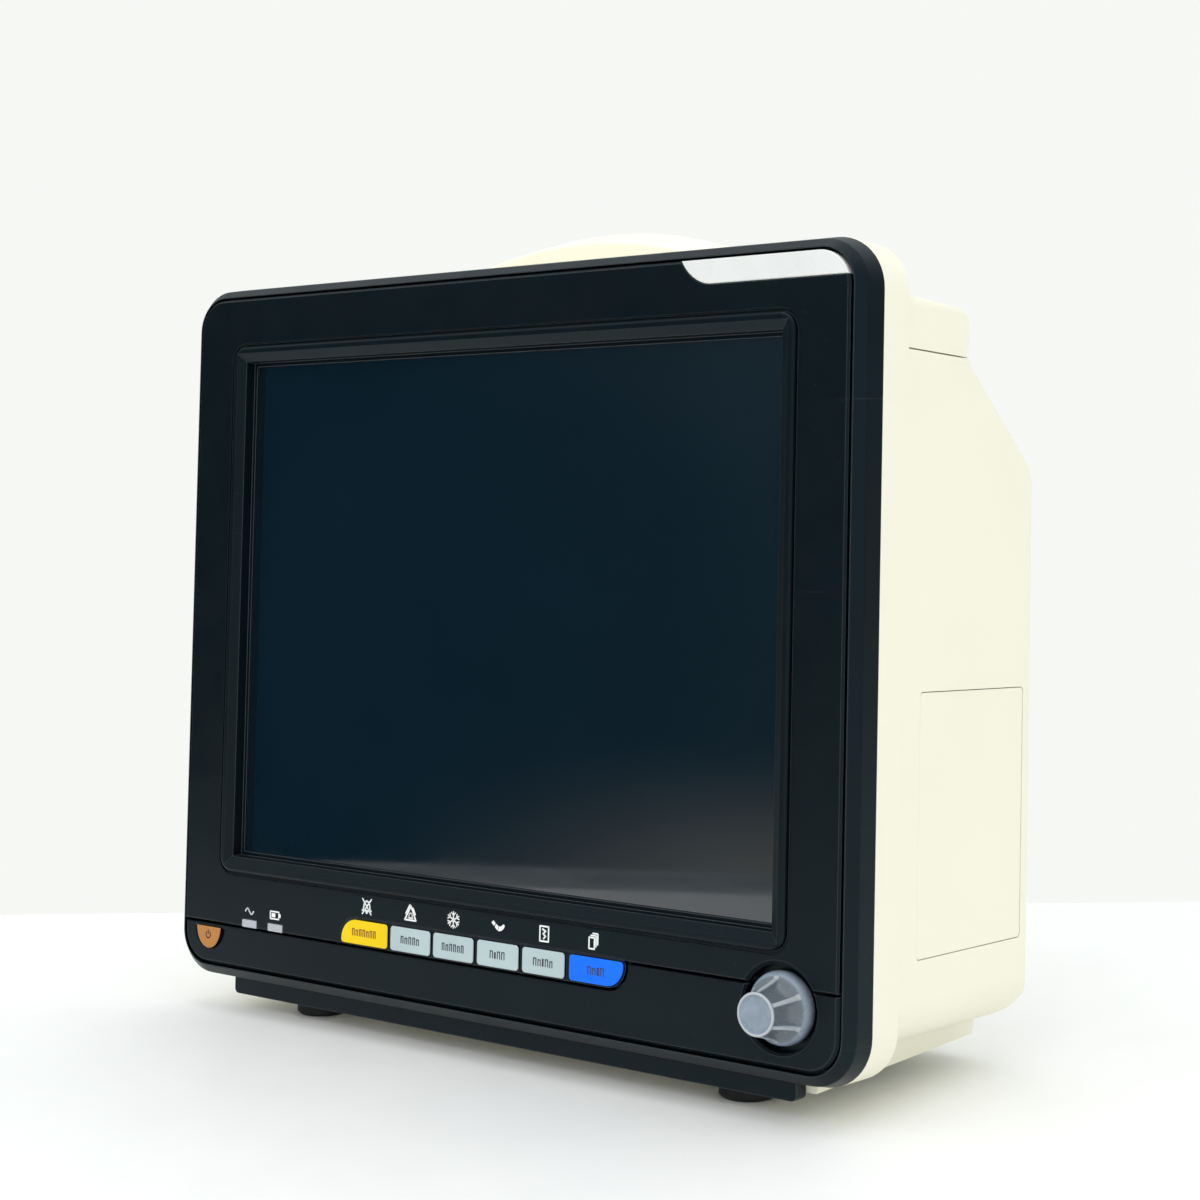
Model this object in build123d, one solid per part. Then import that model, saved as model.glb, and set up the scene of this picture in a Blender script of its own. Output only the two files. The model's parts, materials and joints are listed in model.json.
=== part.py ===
from build123d import *
import os
from math import cos, radians, sin, sqrt, tan

os.makedirs("parts", exist_ok=True)

# A bedside patient monitor.  Every piece is drawn in the housing's own upright frame (x to the
# viewer's right, y into the housing, z up, in millimetres), with the front panel on y = 0.
# The housing leans back on its level plinth, so the drawn pieces are tipped about x at the end.

LEAN = 3.0                      # degrees that the housing leans back
WALL = 3.0                      # wall of the plastic housing
GAP = 0.3                       # shut line between separate mouldings

# Front shell: black rim, then a pale band of the same outline
HALF_W = 155.6
SHELL_Z = (8.8, 274.6)
SHELL_R = 17.5
RIM_Y = 0.8                     # lip of the rim, next to the panel
RIM_EDGE_Y = 3.8                # edge between the rim's sloping front and its side
RIM_DRAFT = 1.4                 # the side draws in this much from the back to that edge
RIM_LAND = 0.3
BAND_Y = (10.7, 25.6)

# Front panel inside the rim
PANEL_HALF_W = 149.6
PANEL_Z = (14.7, 269.3)
PANEL_R = 11.6
GROOVE = 1.0                    # gap between the panel and the rim
PART_GAP = 1.0                  # gap between the upper and the lower panel
PANEL_T = 2.8
SKIRT_Y = 4.8                   # back of the panel's edge skirt
SEAT_Y = (5.0, 7.6)             # plate of the front shell that the panel is seated on
LOWER_STEP = 0.4                # the lower panel is this much further back

# Display
DISPLAY_Z = 150.6               # centre height
BEAD_SIZE = (260.0, 200.4)      # outside of the raised bead
BEAD_R = 6.0
BEAD_GROOVE = 1.0
BEAD_CROWN = (2.6, -1.0)        # distance in from the outside, and y, of the bead's crown
BEAD_EDGE = (5.75, 0.85)        # the same for its inner edge
BEAD_LEDGE = (5.95, 5.0)        # and for the ledge at the foot of its steep inner wall
VIEW_SIZE = (245.1, 185.5)      # visible opening
WINDOW_Y = (6.0, 7.6)
LCD_SIZE = (260.0, 199.0)
LCD_Y = (8.4, 14.6)

# Key row and the other controls
KEY_Z = (31.0, 39.7)
KEY_PROUD = 0.3
KEY_EDGE_R = 0.4
KEY_TRAVEL = 0.8
KEY_GAP = 0.3                   # dark line around each key
KEY_FLANGE = 0.6
SEAM_R = 0.35                   # softened edges of the panels' openings
KEY_STEM_Y = 8.0
KEY_CORNER = 1.3
KEY_BIG_CORNER = 7.2
ROW_MARGIN = 1.0
ROW_DEPTH = 0.4                 # the keys sit in a channel this deep
KEYS = {                        # left and right edge of each key, and its four corner radii
    "silence_key": (-64.0, -40.8, (KEY_CORNER, KEY_CORNER, KEY_CORNER, KEY_BIG_CORNER)),
    "pause_key": (-39.3, -19.9, (KEY_CORNER,) * 4),
    "freeze_key": (-18.5, 0.5, (KEY_CORNER,) * 4),
    "pressure_key": (2.2, 21.1, (KEY_CORNER,) * 4),
    "print_key": (22.8, 41.5, (KEY_CORNER,) * 4),
    "main_key": (43.5, 66.5, (KEY_CORNER, KEY_BIG_CORNER, KEY_CORNER, KEY_CORNER)),
}
POWER_KEY = (-135.7, 28.4, 6.6, 8.2)     # centre x, top z, half width, height
PART_Z_LEFT = 30.0              # height of the line between the two panels, left of the keys
PART_Z_RIGHT = 39.6             # and right of them
LAMP_X = (-113.25, -99.2)       # centres of the two indicator windows
LAMP_SIZE = (7.9, 2.9)
LAMP_Z = 31.85
SWITCH_Y = (9.0, 12.4)
BOARD_T = 1.6

# Rotary knob
KNOB_X, KNOB_Z = 127.7, 32.9
KNOB_CUP_R = 13.8
KNOB_FLANGE_R = 11.6
KNOB_FACE_R = 6.8
KNOB_Y = (-12.5, 1.2, 3.8)      # front disc, front of the flange, back
KNOB_FLUTES = 6
KNOB_PUSH = 0.5
SHAFT_R = 2.1
SHAFT_CLEARANCE = 0.05

# Alarm lamp in the top right corner of the panel
LENS_Z = 261.2
LENS_X = (83.0, 96.5)           # tip, and the end of the straight lower edge

# Main body behind the band
BODY_HALF_W = 154.6
BODY_Z = 18.3
BODY_SIDE_R = 15.0
CAP_Z = (240.5, 256.0)
CAP_Y = 66.0
CAP_GAP = 0.5
CAP_RISE = 2.0                  # the cap's top rises this much from its rear edge to its front
CAP_PLAN_R = 1.5
SLOPE_Z = (238.4, 204.0)        # upper and lower end of the sloping back
REAR_Y = 111.0
SLOPE_R = 17.0
REAR_LOW_R = 11.0
PLAN_R = 1.5                    # rounding of the upright rear corners

# Plinth, skirt and feet; heights marked "level" are in the tipped frame
PLINTH_HALF_W = (132.0, 136.5)  # at its foot and where it meets the body
PLINTH_Y = (14.6, 110.5)
PLINTH_PLAN_R = 1.0
PLINTH_LEVEL = 4.35
SKIRT_HALF_W = 129.4
SKIRT_LOW_Z = 3.0
SKIRT_DEPTH = (8.5, 14.0)
FOOT_X = 99.0
FOOT_Y = (26.1, 96.0)
FOOT_BOSS_R, FOOT_BOSS_DROP = 9.0, 4.2
FOOT_R, FOOT_T = 9.8, 4.0
MOUNT_SPACING = (100.0, 50.0)
MOUNT_Y = 61.0
INSERT_R, INSERT_BORE_R, INSERT_L = 3.0, 1.65, 8.0
MOUNT_BOSS_R = 5.5

# Carrying handle
HANDLE_APEX_Z = 293.5
HANDLE_R = 177.0
HANDLE_T = 15.0
HANDLE_Y = (52.0, 69.0, 76.0)   # front, ridge and back
HANDLE_FALL = 5.0               # the top falls this much from the ridge to the front
HANDLE_BACK_R = 5.0
HANDLE_STEP_Z = 271.0           # below this the back of the handle slants in to the cap
GRIP_T = 7.0
GRIP_Y = (56.0, 66.0)
HAND_HALF_W, HAND_Y, HAND_FLOOR_Z = 80.0, 33.0, 249.0

# Blank cover over the recorder bay, right side
BAY_Y = (37.7, 105.7)
BAY_Z = (46.3, 131.3)
BAY_R = 1.5

# Sensor panel, left side
SENSOR_Y = (38.0, 97.0)
SENSOR_Z = (58.0, 198.0)
SENSOR_MID_Y = 67.5
SENSOR_COL_Y = (54.5, 80.5)     # two columns for the paired sockets
MODULE_Z = (91.0, 118.5, 143.0, 167.5)   # joints between the module plates
SENSOR_PLATE_X = (-151.2, -148.8)
SOCKET_X = (-153.8, -136.0)     # outer face and inner end of a socket
ECG_Z, SPO2_Z, TEMP_Z, NIBP_Z, IBP_Z = 181.0, 154.0, 132.0, 105.0, 76.0

# Rear connectors
INLET_X, INLET_Z = 95.0, 62.0
NET_X, NET_Z = 56.0, 60.0
STUD_X, STUD_Z = 128.0, 60.0
BATTERY_X, BATTERY_Z = (-128.0, -32.0), (38.0, 96.0)
VENT_X = (-92.0, 92.0)
VENT_Z = (150.0, 186.0)
VENT_SLOTS, VENT_PITCH, VENT_W = 11, 7.0, 2.6

# Assembly screws
COLUMN_X = 145.0
COLUMN_Z = (34.0, 225.0)
COLUMN_R = 5.0
SCREW_HEAD_R, SCREW_HEAD_T, SCREW_R = 3.1, 2.3, 1.5
SCREW_SEAT_Y = 27.0
SCREW_TIP_Y = 12.0


# ---------------------------------------------------------------- drawing helpers
def rect(x0, x1, z0, z1, r=0.0):
    shape = RectangleRounded(x1 - x0, z1 - z0, r) if r else Rectangle(x1 - x0, z1 - z0)
    return Pos((x0 + x1) / 2, (z0 + z1) / 2) * shape


def rounded_at(sketch, corners):
    """Round single corners of a sketch, given as (x, y, radius)."""
    for x, y, r in corners:
        sketch = fillet(sketch.vertices().sort_by_distance((x, y, 0))[0], r)
    return sketch


def front_slab(sketch, y0, y1):
    """A front view (x, z) made solid from y0 back to y1."""
    return Plane((0, y1, 0), x_dir=(1, 0, 0), z_dir=(0, -1, 0)).location * extrude(sketch, y1 - y0)


def side_slab(sketch, x0, x1):
    """A side view (y, z) made solid from x0 to x1."""
    return Plane((x0, 0, 0), x_dir=(0, 1, 0), z_dir=(1, 0, 0)).location * extrude(sketch, x1 - x0)


def block(x, y, z):
    """A box between pairs of limits."""
    size = [b - a for a, b in (x, y, z)]
    return Pos(*[(a + b) / 2 for a, b in (x, y, z)]) * Box(*size)


def rod_y(x, z, r, y0, y1):
    return front_slab(Pos(x, z) * Circle(r), y0, y1)


def rod_x(y, z, r, x0, x1):
    return side_slab(Pos(y, z) * Circle(r), x0, x1)


def rod_z(x, y, r, z0, z1):
    return Pos(x, y, z0) * extrude(Circle(r), z1 - z0)


def edges_on_y(solid, y):
    return solid.edges().filter_by_position(Axis.Y, y - 0.01, y + 0.01)


def lean(solid):
    return Rot(-LEAN, 0, 0) * solid


def level_z(y, level):
    """Height, in the drawn frame, of a level plane at depth y."""
    return level / cos(radians(LEAN)) + y * tan(radians(LEAN))


# ---------------------------------------------------------------- shared outlines
def shell_outline(grow=0.0):
    return rect(-HALF_W - grow, HALF_W + grow, SHELL_Z[0] - grow, SHELL_Z[1] + grow, SHELL_R + grow)


def panel_outline(grow=0.0):
    z0, z1 = PANEL_Z
    return rect(-PANEL_HALF_W - grow, PANEL_HALF_W + grow, z0 - grow, z1 + grow, PANEL_R + grow)


def display_rect(size, grow=0.0, r=0.0):
    w, h = size[0] / 2 + grow, size[1] / 2 + grow
    return rect(-w, w, DISPLAY_Z - h, DISPLAY_Z + h, r)


def key_outline(x0, x1, z0, z1, radii, grow=0.0):
    """A key seen from the front; radii run bottom left, bottom right, top right, top left."""
    x0, x1, z0, z1 = x0 - grow, x1 + grow, z0 - grow, z1 + grow
    corners = zip((x0, x1, x1, x0), (z0, z0, z1, z1), radii)
    return rounded_at(rect(x0, x1, z0, z1), [(x, z, r + grow) for x, z, r in corners])


def row_outline(grow=0.0):
    """The whole row of keys as one shape."""
    radii = (KEY_CORNER, KEY_BIG_CORNER, KEY_CORNER, KEY_BIG_CORNER)
    x0 = min(key[0] for key in KEYS.values())
    x1 = max(key[1] for key in KEYS.values())
    return key_outline(x0, x1, *KEY_Z, radii, ROW_MARGIN + grow)


def power_outline(grow=0.0):
    """Half-round key: flat top, round below."""
    x, z_top, half_w, height = POWER_KEY
    round_part = Pos(x, z_top) * Ellipse(half_w + grow, height + grow)
    below = rect(x - 20, x + 20, z_top - 20, z_top + grow)
    return round_part & below


def lower_region(grow=0.0):
    """The part of the front that the lower panel covers."""
    wide = rect(-200, 200, -20, PART_Z_RIGHT + grow)
    raised_left = rect(-210, 0, PART_Z_LEFT + grow, 60)
    return wide - raised_left - row_outline(-grow)


def lens_outline(grow=0.0):
    """The alarm lamp: a strip under the panel's top edge, with a curved left end."""
    tip, foot = LENS_X[0] - grow, LENS_X[1] - grow
    z0, z1 = LENS_Z - grow, PANEL_Z[1] + 5
    curve = Bezier((tip, z1), (tip + 1.0, LENS_Z + 5.5), (foot - 6.0, z0), (foot, z0))
    edges = [curve, Line((foot, z0), (200, z0)), Line((200, z0), (200, z1)), Line((200, z1), (tip, z1))]
    return make_face(edges)


def lamp_outline(x, grow=0.0):
    w, h = LAMP_SIZE[0] / 2 + grow, LAMP_SIZE[1] / 2 + grow
    return rect(x - w, x + w, LAMP_Z - h, LAMP_Z + h, 0.5)


# ---------------------------------------------------------------- front pieces
def front_loft(*sections):
    """Loft between front views, given as (sketch, y)."""
    faces = [Plane((0, y, 0), x_dir=(1, 0, 0), z_dir=(0, -1, 0)).location * sketch for sketch, y in sections]
    return loft([face.faces()[0] for face in faces], ruled=True)


def make_rim():
    """Solid shell front: a sloping front face and a side that draws in towards the viewer."""
    side = front_loft((shell_outline(), BAND_Y[0]), (shell_outline(-RIM_DRAFT), RIM_EDGE_Y))
    slope = front_loft((shell_outline(-RIM_DRAFT), RIM_EDGE_Y), (panel_outline(GROOVE + RIM_LAND), RIM_Y))
    return fillet(edges_on_y(side + slope, RIM_EDGE_Y), 0.7)


def make_front_bezel():
    shell = make_rim() - front_slab(panel_outline(GROOVE), -5, SEAT_Y[0])
    shell -= front_slab(shell_outline(-WALL), SEAT_Y[1], BAND_Y[0] + 1)
    skirt = rounded_at(rect(-SKIRT_HALF_W, SKIRT_HALF_W, SKIRT_LOW_Z, 12.0),
                       [(-SKIRT_HALF_W, SKIRT_LOW_Z, 2.0), (SKIRT_HALF_W, SKIRT_LOW_Z, 2.0)])
    shell += front_slab(skirt, *SKIRT_DEPTH) - front_slab(shell_outline(-WALL), SEAT_Y[1], 20)
    shell -= front_slab(display_rect(BEAD_SIZE, 0.5), 0, 12)
    shell -= front_slab(row_outline(1.2), 0, 12)
    shell -= front_slab(power_outline(1.2), 0, 12)
    shell -= rod_y(KNOB_X, KNOB_Z, 3.9, 0, 12)
    shell -= front_slab(rect(101, 140, LENS_Z + 1.5, LENS_Z + 6.0), 0, 12)
    for x in LAMP_X:
        shell -= front_slab(lamp_outline(x, 0.4), 0, 12)
    for x in (-COLUMN_X, COLUMN_X):
        for z in COLUMN_Z:
            boss = rod_y(x, z, 3.8, SEAT_Y[1], 22.2) - rod_y(x, z, SCREW_R + 0.1, SCREW_TIP_Y - 1, 23)
            shell += boss
    return shell


def panel_blank(y_front, bevel):
    """The whole front panel with a bevelled edge and a skirt round the back."""
    blank = chamfer(edges_on_y(front_slab(panel_outline(), y_front, PANEL_T), y_front), bevel)
    return blank + front_slab(panel_outline() - panel_outline(-2.4), PANEL_T, SKIRT_Y)


def inner_edges(plate, y):
    """Front edges of a panel that lie inside its outer outline."""
    return [e for e in edges_on_y(plate, y) if abs(e.center().X) < PANEL_HALF_W - 4 and
            PANEL_Z[0] + 5 < e.center().Z < PANEL_Z[1] - 5]


def make_bead():
    """Raised ring around the display, before its inside is cut."""
    ring = front_slab(display_rect(BEAD_SIZE, 0, BEAD_R), BEAD_CROWN[1], WINDOW_Y[0])
    return fillet(edges_on_y(ring, BEAD_CROWN[1]), 1.3)


def bead_section(start, end, before, after):
    """Two rectangles of the bead's inside, run on by some depth before its start and after its end."""
    slope = (end[0] - start[0]) / (end[1] - start[1])
    ends = ((start[0] + slope * before, start[1] + before), (end[0] + slope * after, end[1] + after))
    return [(display_rect(BEAD_SIZE, -inset), y) for inset, y in ends]


def make_display_fascia():
    plate = panel_blank(0, 0.7)
    plate -= front_slab(display_rect(BEAD_SIZE, BEAD_GROOVE, BEAD_R + BEAD_GROOVE), -1, 1.2)
    plate = fillet(inner_edges(plate, 0), SEAM_R)
    plate -= front_slab(lower_region(PART_GAP / 2), -5, 10)
    plate -= front_slab(row_outline(-GAP), -1, ROW_DEPTH)
    plate = chamfer([e for e in inner_edges(plate, 0) if e.center().Z < PART_Z_RIGHT + 2], SEAM_R)
    plate -= front_slab(lens_outline(0.2), -5, 10)
    plate += make_bead()
    plate -= front_loft(*bead_section(BEAD_CROWN, BEAD_EDGE, -0.5, 0.02))
    plate -= front_loft(*bead_section(BEAD_EDGE, BEAD_LEDGE, 0, 0))
    plate -= front_slab(display_rect(VIEW_SIZE), BEAD_LEDGE[1] - 0.1, 12)
    for x0, x1, radii in KEYS.values():
        plate -= front_slab(key_outline(x0, x1, *KEY_Z, radii, KEY_GAP), -1, 6)
    for x in LAMP_X:
        w = LAMP_SIZE[0] / 2 + 0.15
        plate -= front_slab(rect(x - w, x + w, PART_Z_LEFT - 1, LAMP_Z + LAMP_SIZE[1] / 2 + 0.15), -1, 6)
    cup = rod_y(KNOB_X, KNOB_Z, KNOB_CUP_R, -1, 6)
    return plate - cup - knob_cup_bevel()


def knob_cup_bevel():
    """The cup around the knob has a bevelled mouth."""
    bevel = 1.2
    return Plane((KNOB_X, bevel, KNOB_Z), x_dir=(1, 0, 0), z_dir=(0, -1, 0)).location * Cone(
        KNOB_CUP_R, KNOB_CUP_R + 2 * bevel, 2 * bevel, align=(Align.CENTER, Align.CENTER, Align.MIN))


def make_lower_fascia():
    plate = panel_blank(LOWER_STEP, 1.0) & front_slab(lower_region(-PART_GAP / 2), -5, 10)
    plate = fillet([e for e in inner_edges(plate, LOWER_STEP) if e.center().Z > PART_Z_LEFT - 3], SEAM_R)
    dish = front_slab(power_outline(KEY_GAP), -1, 6)
    x, z_top, half_w, height = POWER_KEY
    bowl = Plane((x, LOWER_STEP + 1.0, z_top), x_dir=(1, 0, 0), z_dir=(0, -1, 0)).location * Cone(
        half_w, half_w + 3.0, 1.5, align=(Align.CENTER, Align.CENTER, Align.MIN))
    bowl = bowl & block((x - 20, x + 20), (-5, 5), (0, z_top))
    cup = rod_y(KNOB_X, KNOB_Z, KNOB_CUP_R, -1, 6)
    return plate - dish - bowl - cup - knob_cup_bevel()


def make_display_window():
    return front_slab(display_rect(BEAD_SIZE, -0.5, 2.0), *WINDOW_Y)


def make_display_gasket():
    ring = display_rect(BEAD_SIZE, -0.6, 2.0) - display_rect(VIEW_SIZE, 1.0)
    return front_slab(ring, WINDOW_Y[1] + 0.05, LCD_Y[0] - 0.05)


def make_lcd_panel():
    body = front_slab(display_rect(LCD_SIZE), *LCD_Y)
    return chamfer(edges_on_y(body, LCD_Y[1]), 0.8)


def make_lcd_bracket():
    y0 = LCD_Y[1] + 0.2
    frame = front_slab(display_rect(LCD_SIZE, 5.0) - display_rect(LCD_SIZE, -30.0), y0, y0 + 1.2)
    frame += front_slab(rect(-4, 4, DISPLAY_Z - 75, DISPLAY_Z + 75), y0, y0 + 1.2)
    for x in (-COLUMN_X + 11, COLUMN_X - 11):
        for z in (60, 240):
            frame += front_slab(rect(x - 6, x + 6, z - 6, z + 6), y0, y0 + 1.2)
    return frame


def make_alarm_lamp_lens():
    body = front_slab(panel_outline() & lens_outline(), -0.3, SKIRT_Y)
    body = fillet(edges_on_y(body, -0.3), 0.5)
    hollow = front_slab(panel_outline(-1.6) & lens_outline(-1.4), 1.4, SKIRT_Y + 1)
    return body - hollow


def make_alarm_lamp_board():
    board = block((99, 143), (9.0, 9.0 + BOARD_T), (LENS_Z - 1, LENS_Z + 8))
    for i in range(6):
        x = 103.5 + 7 * i
        board += block((x - 1.6, x + 1.6), (7.6, 9.0), (LENS_Z + 2.3, LENS_Z + 5.1))
    return board


def make_indicator(x):
    head = front_slab(lamp_outline(x), -0.1, 3.4)
    stem = front_slab(rect(x - 1.5, x + 1.5, LAMP_Z - 1.0, LAMP_Z + 1.0), 3.4, 11.2)
    return fillet(edges_on_y(head, -0.1), 0.3) + stem


def make_key(outline, flange, stem):
    """A key cap with a retaining flange and a stem that presses its switch."""
    cap = fillet(edges_on_y(front_slab(outline, -KEY_PROUD, 3.0), -KEY_PROUD), KEY_EDGE_R)
    return cap + front_slab(flange, 3.0, 3.8) + front_slab(stem, 3.8, KEY_STEM_Y)


def make_row_key(name):
    x0, x1, radii = KEYS[name]
    x, z = (x0 + x1) / 2, sum(KEY_Z) / 2
    return make_key(key_outline(x0, x1, *KEY_Z, radii),
                    key_outline(x0, x1, *KEY_Z, radii, KEY_FLANGE),
                    rect(x - 3, x + 3, z - 2, z + 2))


def make_power_key():
    x, z = POWER_KEY[0], POWER_KEY[1] - 3.8
    return make_key(power_outline(), power_outline(KEY_FLANGE), rect(x - 3, x + 3, z - 2, z + 2))


def key_centres():
    centres = [((x0 + x1) / 2, sum(KEY_Z) / 2) for x0, x1, _ in KEYS.values()]
    return centres + [(POWER_KEY[0], POWER_KEY[1] - 3.8)]


def make_keypad_board():
    y0 = SWITCH_Y[1]
    board = front_slab(rect(-140.5, 78, 19.5, 45.5, 1.0), y0, y0 + BOARD_T)
    for x in LAMP_X:
        board += block((x - 1.6, x + 1.6), (y0 - 0.9, y0), (LAMP_Z - 0.8, LAMP_Z + 0.8))
    return board + block((-30, 10), (y0 + BOARD_T, y0 + BOARD_T + 4), (23, 28))


def make_key_switches():
    """Tact switches, one behind each key."""
    y0, y1 = SWITCH_Y
    switches = []
    for x, z in key_centres():
        body = block((x - 3, x + 3), (y0 + 0.2, y1), (z - 3, z + 3))
        switches.append(body + rod_y(x, z, 1.7, y0, y0 + 0.2))
    return Compound(children=switches)


def make_control_knob():
    """Fluted cone on a domed flange, closed at the front."""
    y_front, y_flange, y_back = KNOB_Y
    profile = Polyline((0, y_front), (KNOB_FACE_R, y_front), (KNOB_FACE_R, y_front + 1.2),
                       (KNOB_FACE_R + 0.4, y_front + 6), (KNOB_FACE_R + 1.6, y_flange - 2.6),
                       (KNOB_FLANGE_R - 1.6, y_flange - 0.9), (KNOB_FLANGE_R, y_flange + 1.2),
                       (KNOB_FLANGE_R, y_back), (0, y_back), close=True)
    body = revolve(make_face(profile), Axis.Y)
    body = fillet(body.edges().filter_by_position(Axis.Y, y_front - 0.01, y_front + 0.01), 0.5)
    flute_r, flute_at = 5.6, 12.1
    for i in range(KNOB_FLUTES):
        flute = Rot(0, 360 / KNOB_FLUTES * i, 0) * Pos(flute_at, 0, 0)
        cutter = Rot(90, 0, 0) * Cylinder(flute_r, 9.5)
        body -= flute * (Pos(0, y_front + 1.6 + 4.75, 0) * cutter)
    body -= rod_y(0, 0, 3.1, -8, y_back + 1)
    body -= rod_y(0, 0, 9.2, y_flange + 1.0, y_back + 1)
    return Pos(KNOB_X, 0, KNOB_Z) * body


def make_encoder_shaft():
    return rod_y(KNOB_X, KNOB_Z, 3.0, -7.8, 3.2) + rod_y(KNOB_X, KNOB_Z, SHAFT_R, 3.2, 9.0)


def make_encoder_plunger():
    return rod_y(KNOB_X, KNOB_Z, 2.8, 9.3, 10.1)


def make_encoder_body():
    x, z = KNOB_X, KNOB_Z
    body = block((x - 6, x + 6), (7.9, 14.0), (z - 6, z + 6)) + rod_y(x, z, 3.5, 4.2, 7.9)
    body -= rod_y(x, z, SHAFT_R + SHAFT_CLEARANCE, 4, 9)
    return body - rod_y(x, z, 3.3, 8.9, 11.2)


# ---------------------------------------------------------------- housing
def body_profile(z_top, inset=0.0):
    """Side view of the body behind the band, with its sloping back."""
    points = [(BAND_Y[0], BODY_Z), (BAND_Y[0], z_top), (CAP_Y, z_top)]
    if z_top > SLOPE_Z[0]:
        points.append((CAP_Y, SLOPE_Z[0]))
    points += [(REAR_Y, SLOPE_Z[1]), (REAR_Y, BODY_Z)]
    corners = [(REAR_Y, SLOPE_Z[1], SLOPE_R), (REAR_Y, BODY_Z, REAR_LOW_R)]
    sketch = rounded_at(make_face(Polyline(*points, close=True)), corners)
    return offset(sketch, -inset, kind=Kind.INTERSECTION) if inset else sketch


def make_body(inset=0.0):
    z_top = CAP_Z[0] - CAP_GAP
    w = BODY_HALF_W - inset
    section = rounded_at(rect(-w, w, BODY_Z + inset, 300),
                         [(-w, BODY_Z + inset, BODY_SIDE_R - inset), (w, BODY_Z + inset, BODY_SIDE_R - inset)])
    plan = rounded_at(rect(-w, w, 0, REAR_Y - inset),
                      [(-w, REAR_Y - inset, PLAN_R), (w, REAR_Y - inset, PLAN_R)])
    body = side_slab(body_profile(z_top, inset), -w - 10, w + 10)
    return body & front_slab(section, 0, REAR_Y + 10) & extrude(plan, 320)


def make_plinth(inset=0.0):
    """Shallow base under the body; its underside is level once the housing leans."""
    y0, y1 = PLINTH_Y[0] + inset, PLINTH_Y[1] - inset
    top = BODY_Z + 5
    side = make_face(Polyline((y0, level_z(y0, PLINTH_LEVEL + inset)), (y1, level_z(y1, PLINTH_LEVEL + inset)),
                              (y1, top), (y0, top), close=True))
    low, high = PLINTH_HALF_W[0] - inset, PLINTH_HALF_W[1] - inset
    front = make_face(Polyline((-low, 0), (low, 0), (high, top), (-high, top), close=True))
    plan = rounded_at(rect(-high, high, y0, y1), [(-high, y1, PLINTH_PLAN_R), (high, y1, PLINTH_PLAN_R)])
    return side_slab(side, -150, 150) & front_slab(front, 0, 120) & extrude(plan, 60)


def screw_columns():
    solids = [rod_y(x, z, COLUMN_R, 22.4, REAR_Y + 5) for x in (-COLUMN_X, COLUMN_X) for z in COLUMN_Z]
    return Compound(children=solids)


def column_holes():
    holes = []
    for x in (-COLUMN_X, COLUMN_X):
        for z in COLUMN_Z:
            holes.append(rod_y(x, z, SCREW_R + 0.2, 20, SCREW_SEAT_Y + 1))
            holes.append(rod_y(x, z, SCREW_HEAD_R + 0.4, SCREW_SEAT_Y, REAR_Y + 10))
    return holes


def vent_slots():
    sketch = Sketch()
    z_mid, height = sum(VENT_Z) / 2, VENT_Z[1] - VENT_Z[0]
    for x_mid in VENT_X:
        for i in range(VENT_SLOTS):
            x = x_mid + (i - (VENT_SLOTS - 1) / 2) * VENT_PITCH
            sketch += Pos(x, z_mid) * Rot(0, 0, 90) * SlotOverall(height, VENT_W)
    return front_slab(sketch, REAR_Y - WALL - 2, REAR_Y + 2)


def mount_points():
    return [(x, MOUNT_Y + y) for x in (-MOUNT_SPACING[0] / 2, MOUNT_SPACING[0] / 2)
            for y in (-MOUNT_SPACING[1] / 2, MOUNT_SPACING[1] / 2)]


def foot_points():
    return [(x, y) for x in (-FOOT_X, FOOT_X) for y in FOOT_Y]


def make_rear_housing():
    """Pale rear shell: band, hollow body and plinth.  Returned already leaning."""
    shell = front_slab(shell_outline(), *BAND_Y) + make_body() + make_plinth()
    solid_body = make_body()
    shell -= front_slab(shell_outline(-WALL), 5, BAND_Y[1] - WALL)
    shell -= make_body(WALL)
    shell -= make_plinth(WALL)
    shell += screw_columns() & solid_body
    for hole in column_holes():
        shell -= hole
    skirt_notch = block((-SKIRT_HALF_W - GAP, SKIRT_HALF_W + GAP), (5, SKIRT_DEPTH[1] + GAP), (-5, 12.3))
    shell -= skirt_notch
    shell -= side_slab(rect(*BAY_Y, *BAY_Z, BAY_R), 140, 170)
    shell -= side_slab(rect(*SENSOR_Y, *SENSOR_Z, 4.0), -170, -140)
    shell -= vent_slots()
    shell -= front_slab(rect(INLET_X - 14.3, INLET_X + 14.3, INLET_Z - 12.3, INLET_Z + 19.3), 100, 120)
    shell -= front_slab(rect(NET_X - 8.3, NET_X + 8.3, NET_Z - 7.3, NET_Z + 7.3), 100, 120)
    shell -= rod_y(STUD_X, STUD_Z, 3.2, 100, 120)
    shell -= front_slab(rect(*BATTERY_X, *BATTERY_Z, 3.0), REAR_Y - 1.6, 120)
    ledge = (BATTERY_X[0] + 6, BATTERY_X[1] - 6, BATTERY_Z[0] + 4, BATTERY_Z[1] - 4)
    shell -= front_slab(rect(*ledge), 100, 120)
    shell = lean(shell)
    for x, y in foot_points():
        shell += rod_z(x, y, FOOT_BOSS_R, PLINTH_LEVEL - FOOT_BOSS_DROP, PLINTH_LEVEL + 1)
    for x, y in mount_points():
        shell += rod_z(x, y, MOUNT_BOSS_R, PLINTH_LEVEL + 1, PLINTH_LEVEL + INSERT_L + 2)
        shell -= rod_z(x, y, INSERT_R, PLINTH_LEVEL - 5, PLINTH_LEVEL + INSERT_L)
    return shell


def make_rubber_feet():
    low = PLINTH_LEVEL - FOOT_BOSS_DROP - FOOT_T
    feet = []
    for x, y in foot_points():
        pad = rod_z(x, y, FOOT_R, low, low + FOOT_T)
        feet.append(chamfer(pad.edges().sort_by(Axis.Z)[0], 1.0))
    return Compound(children=feet)


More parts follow.
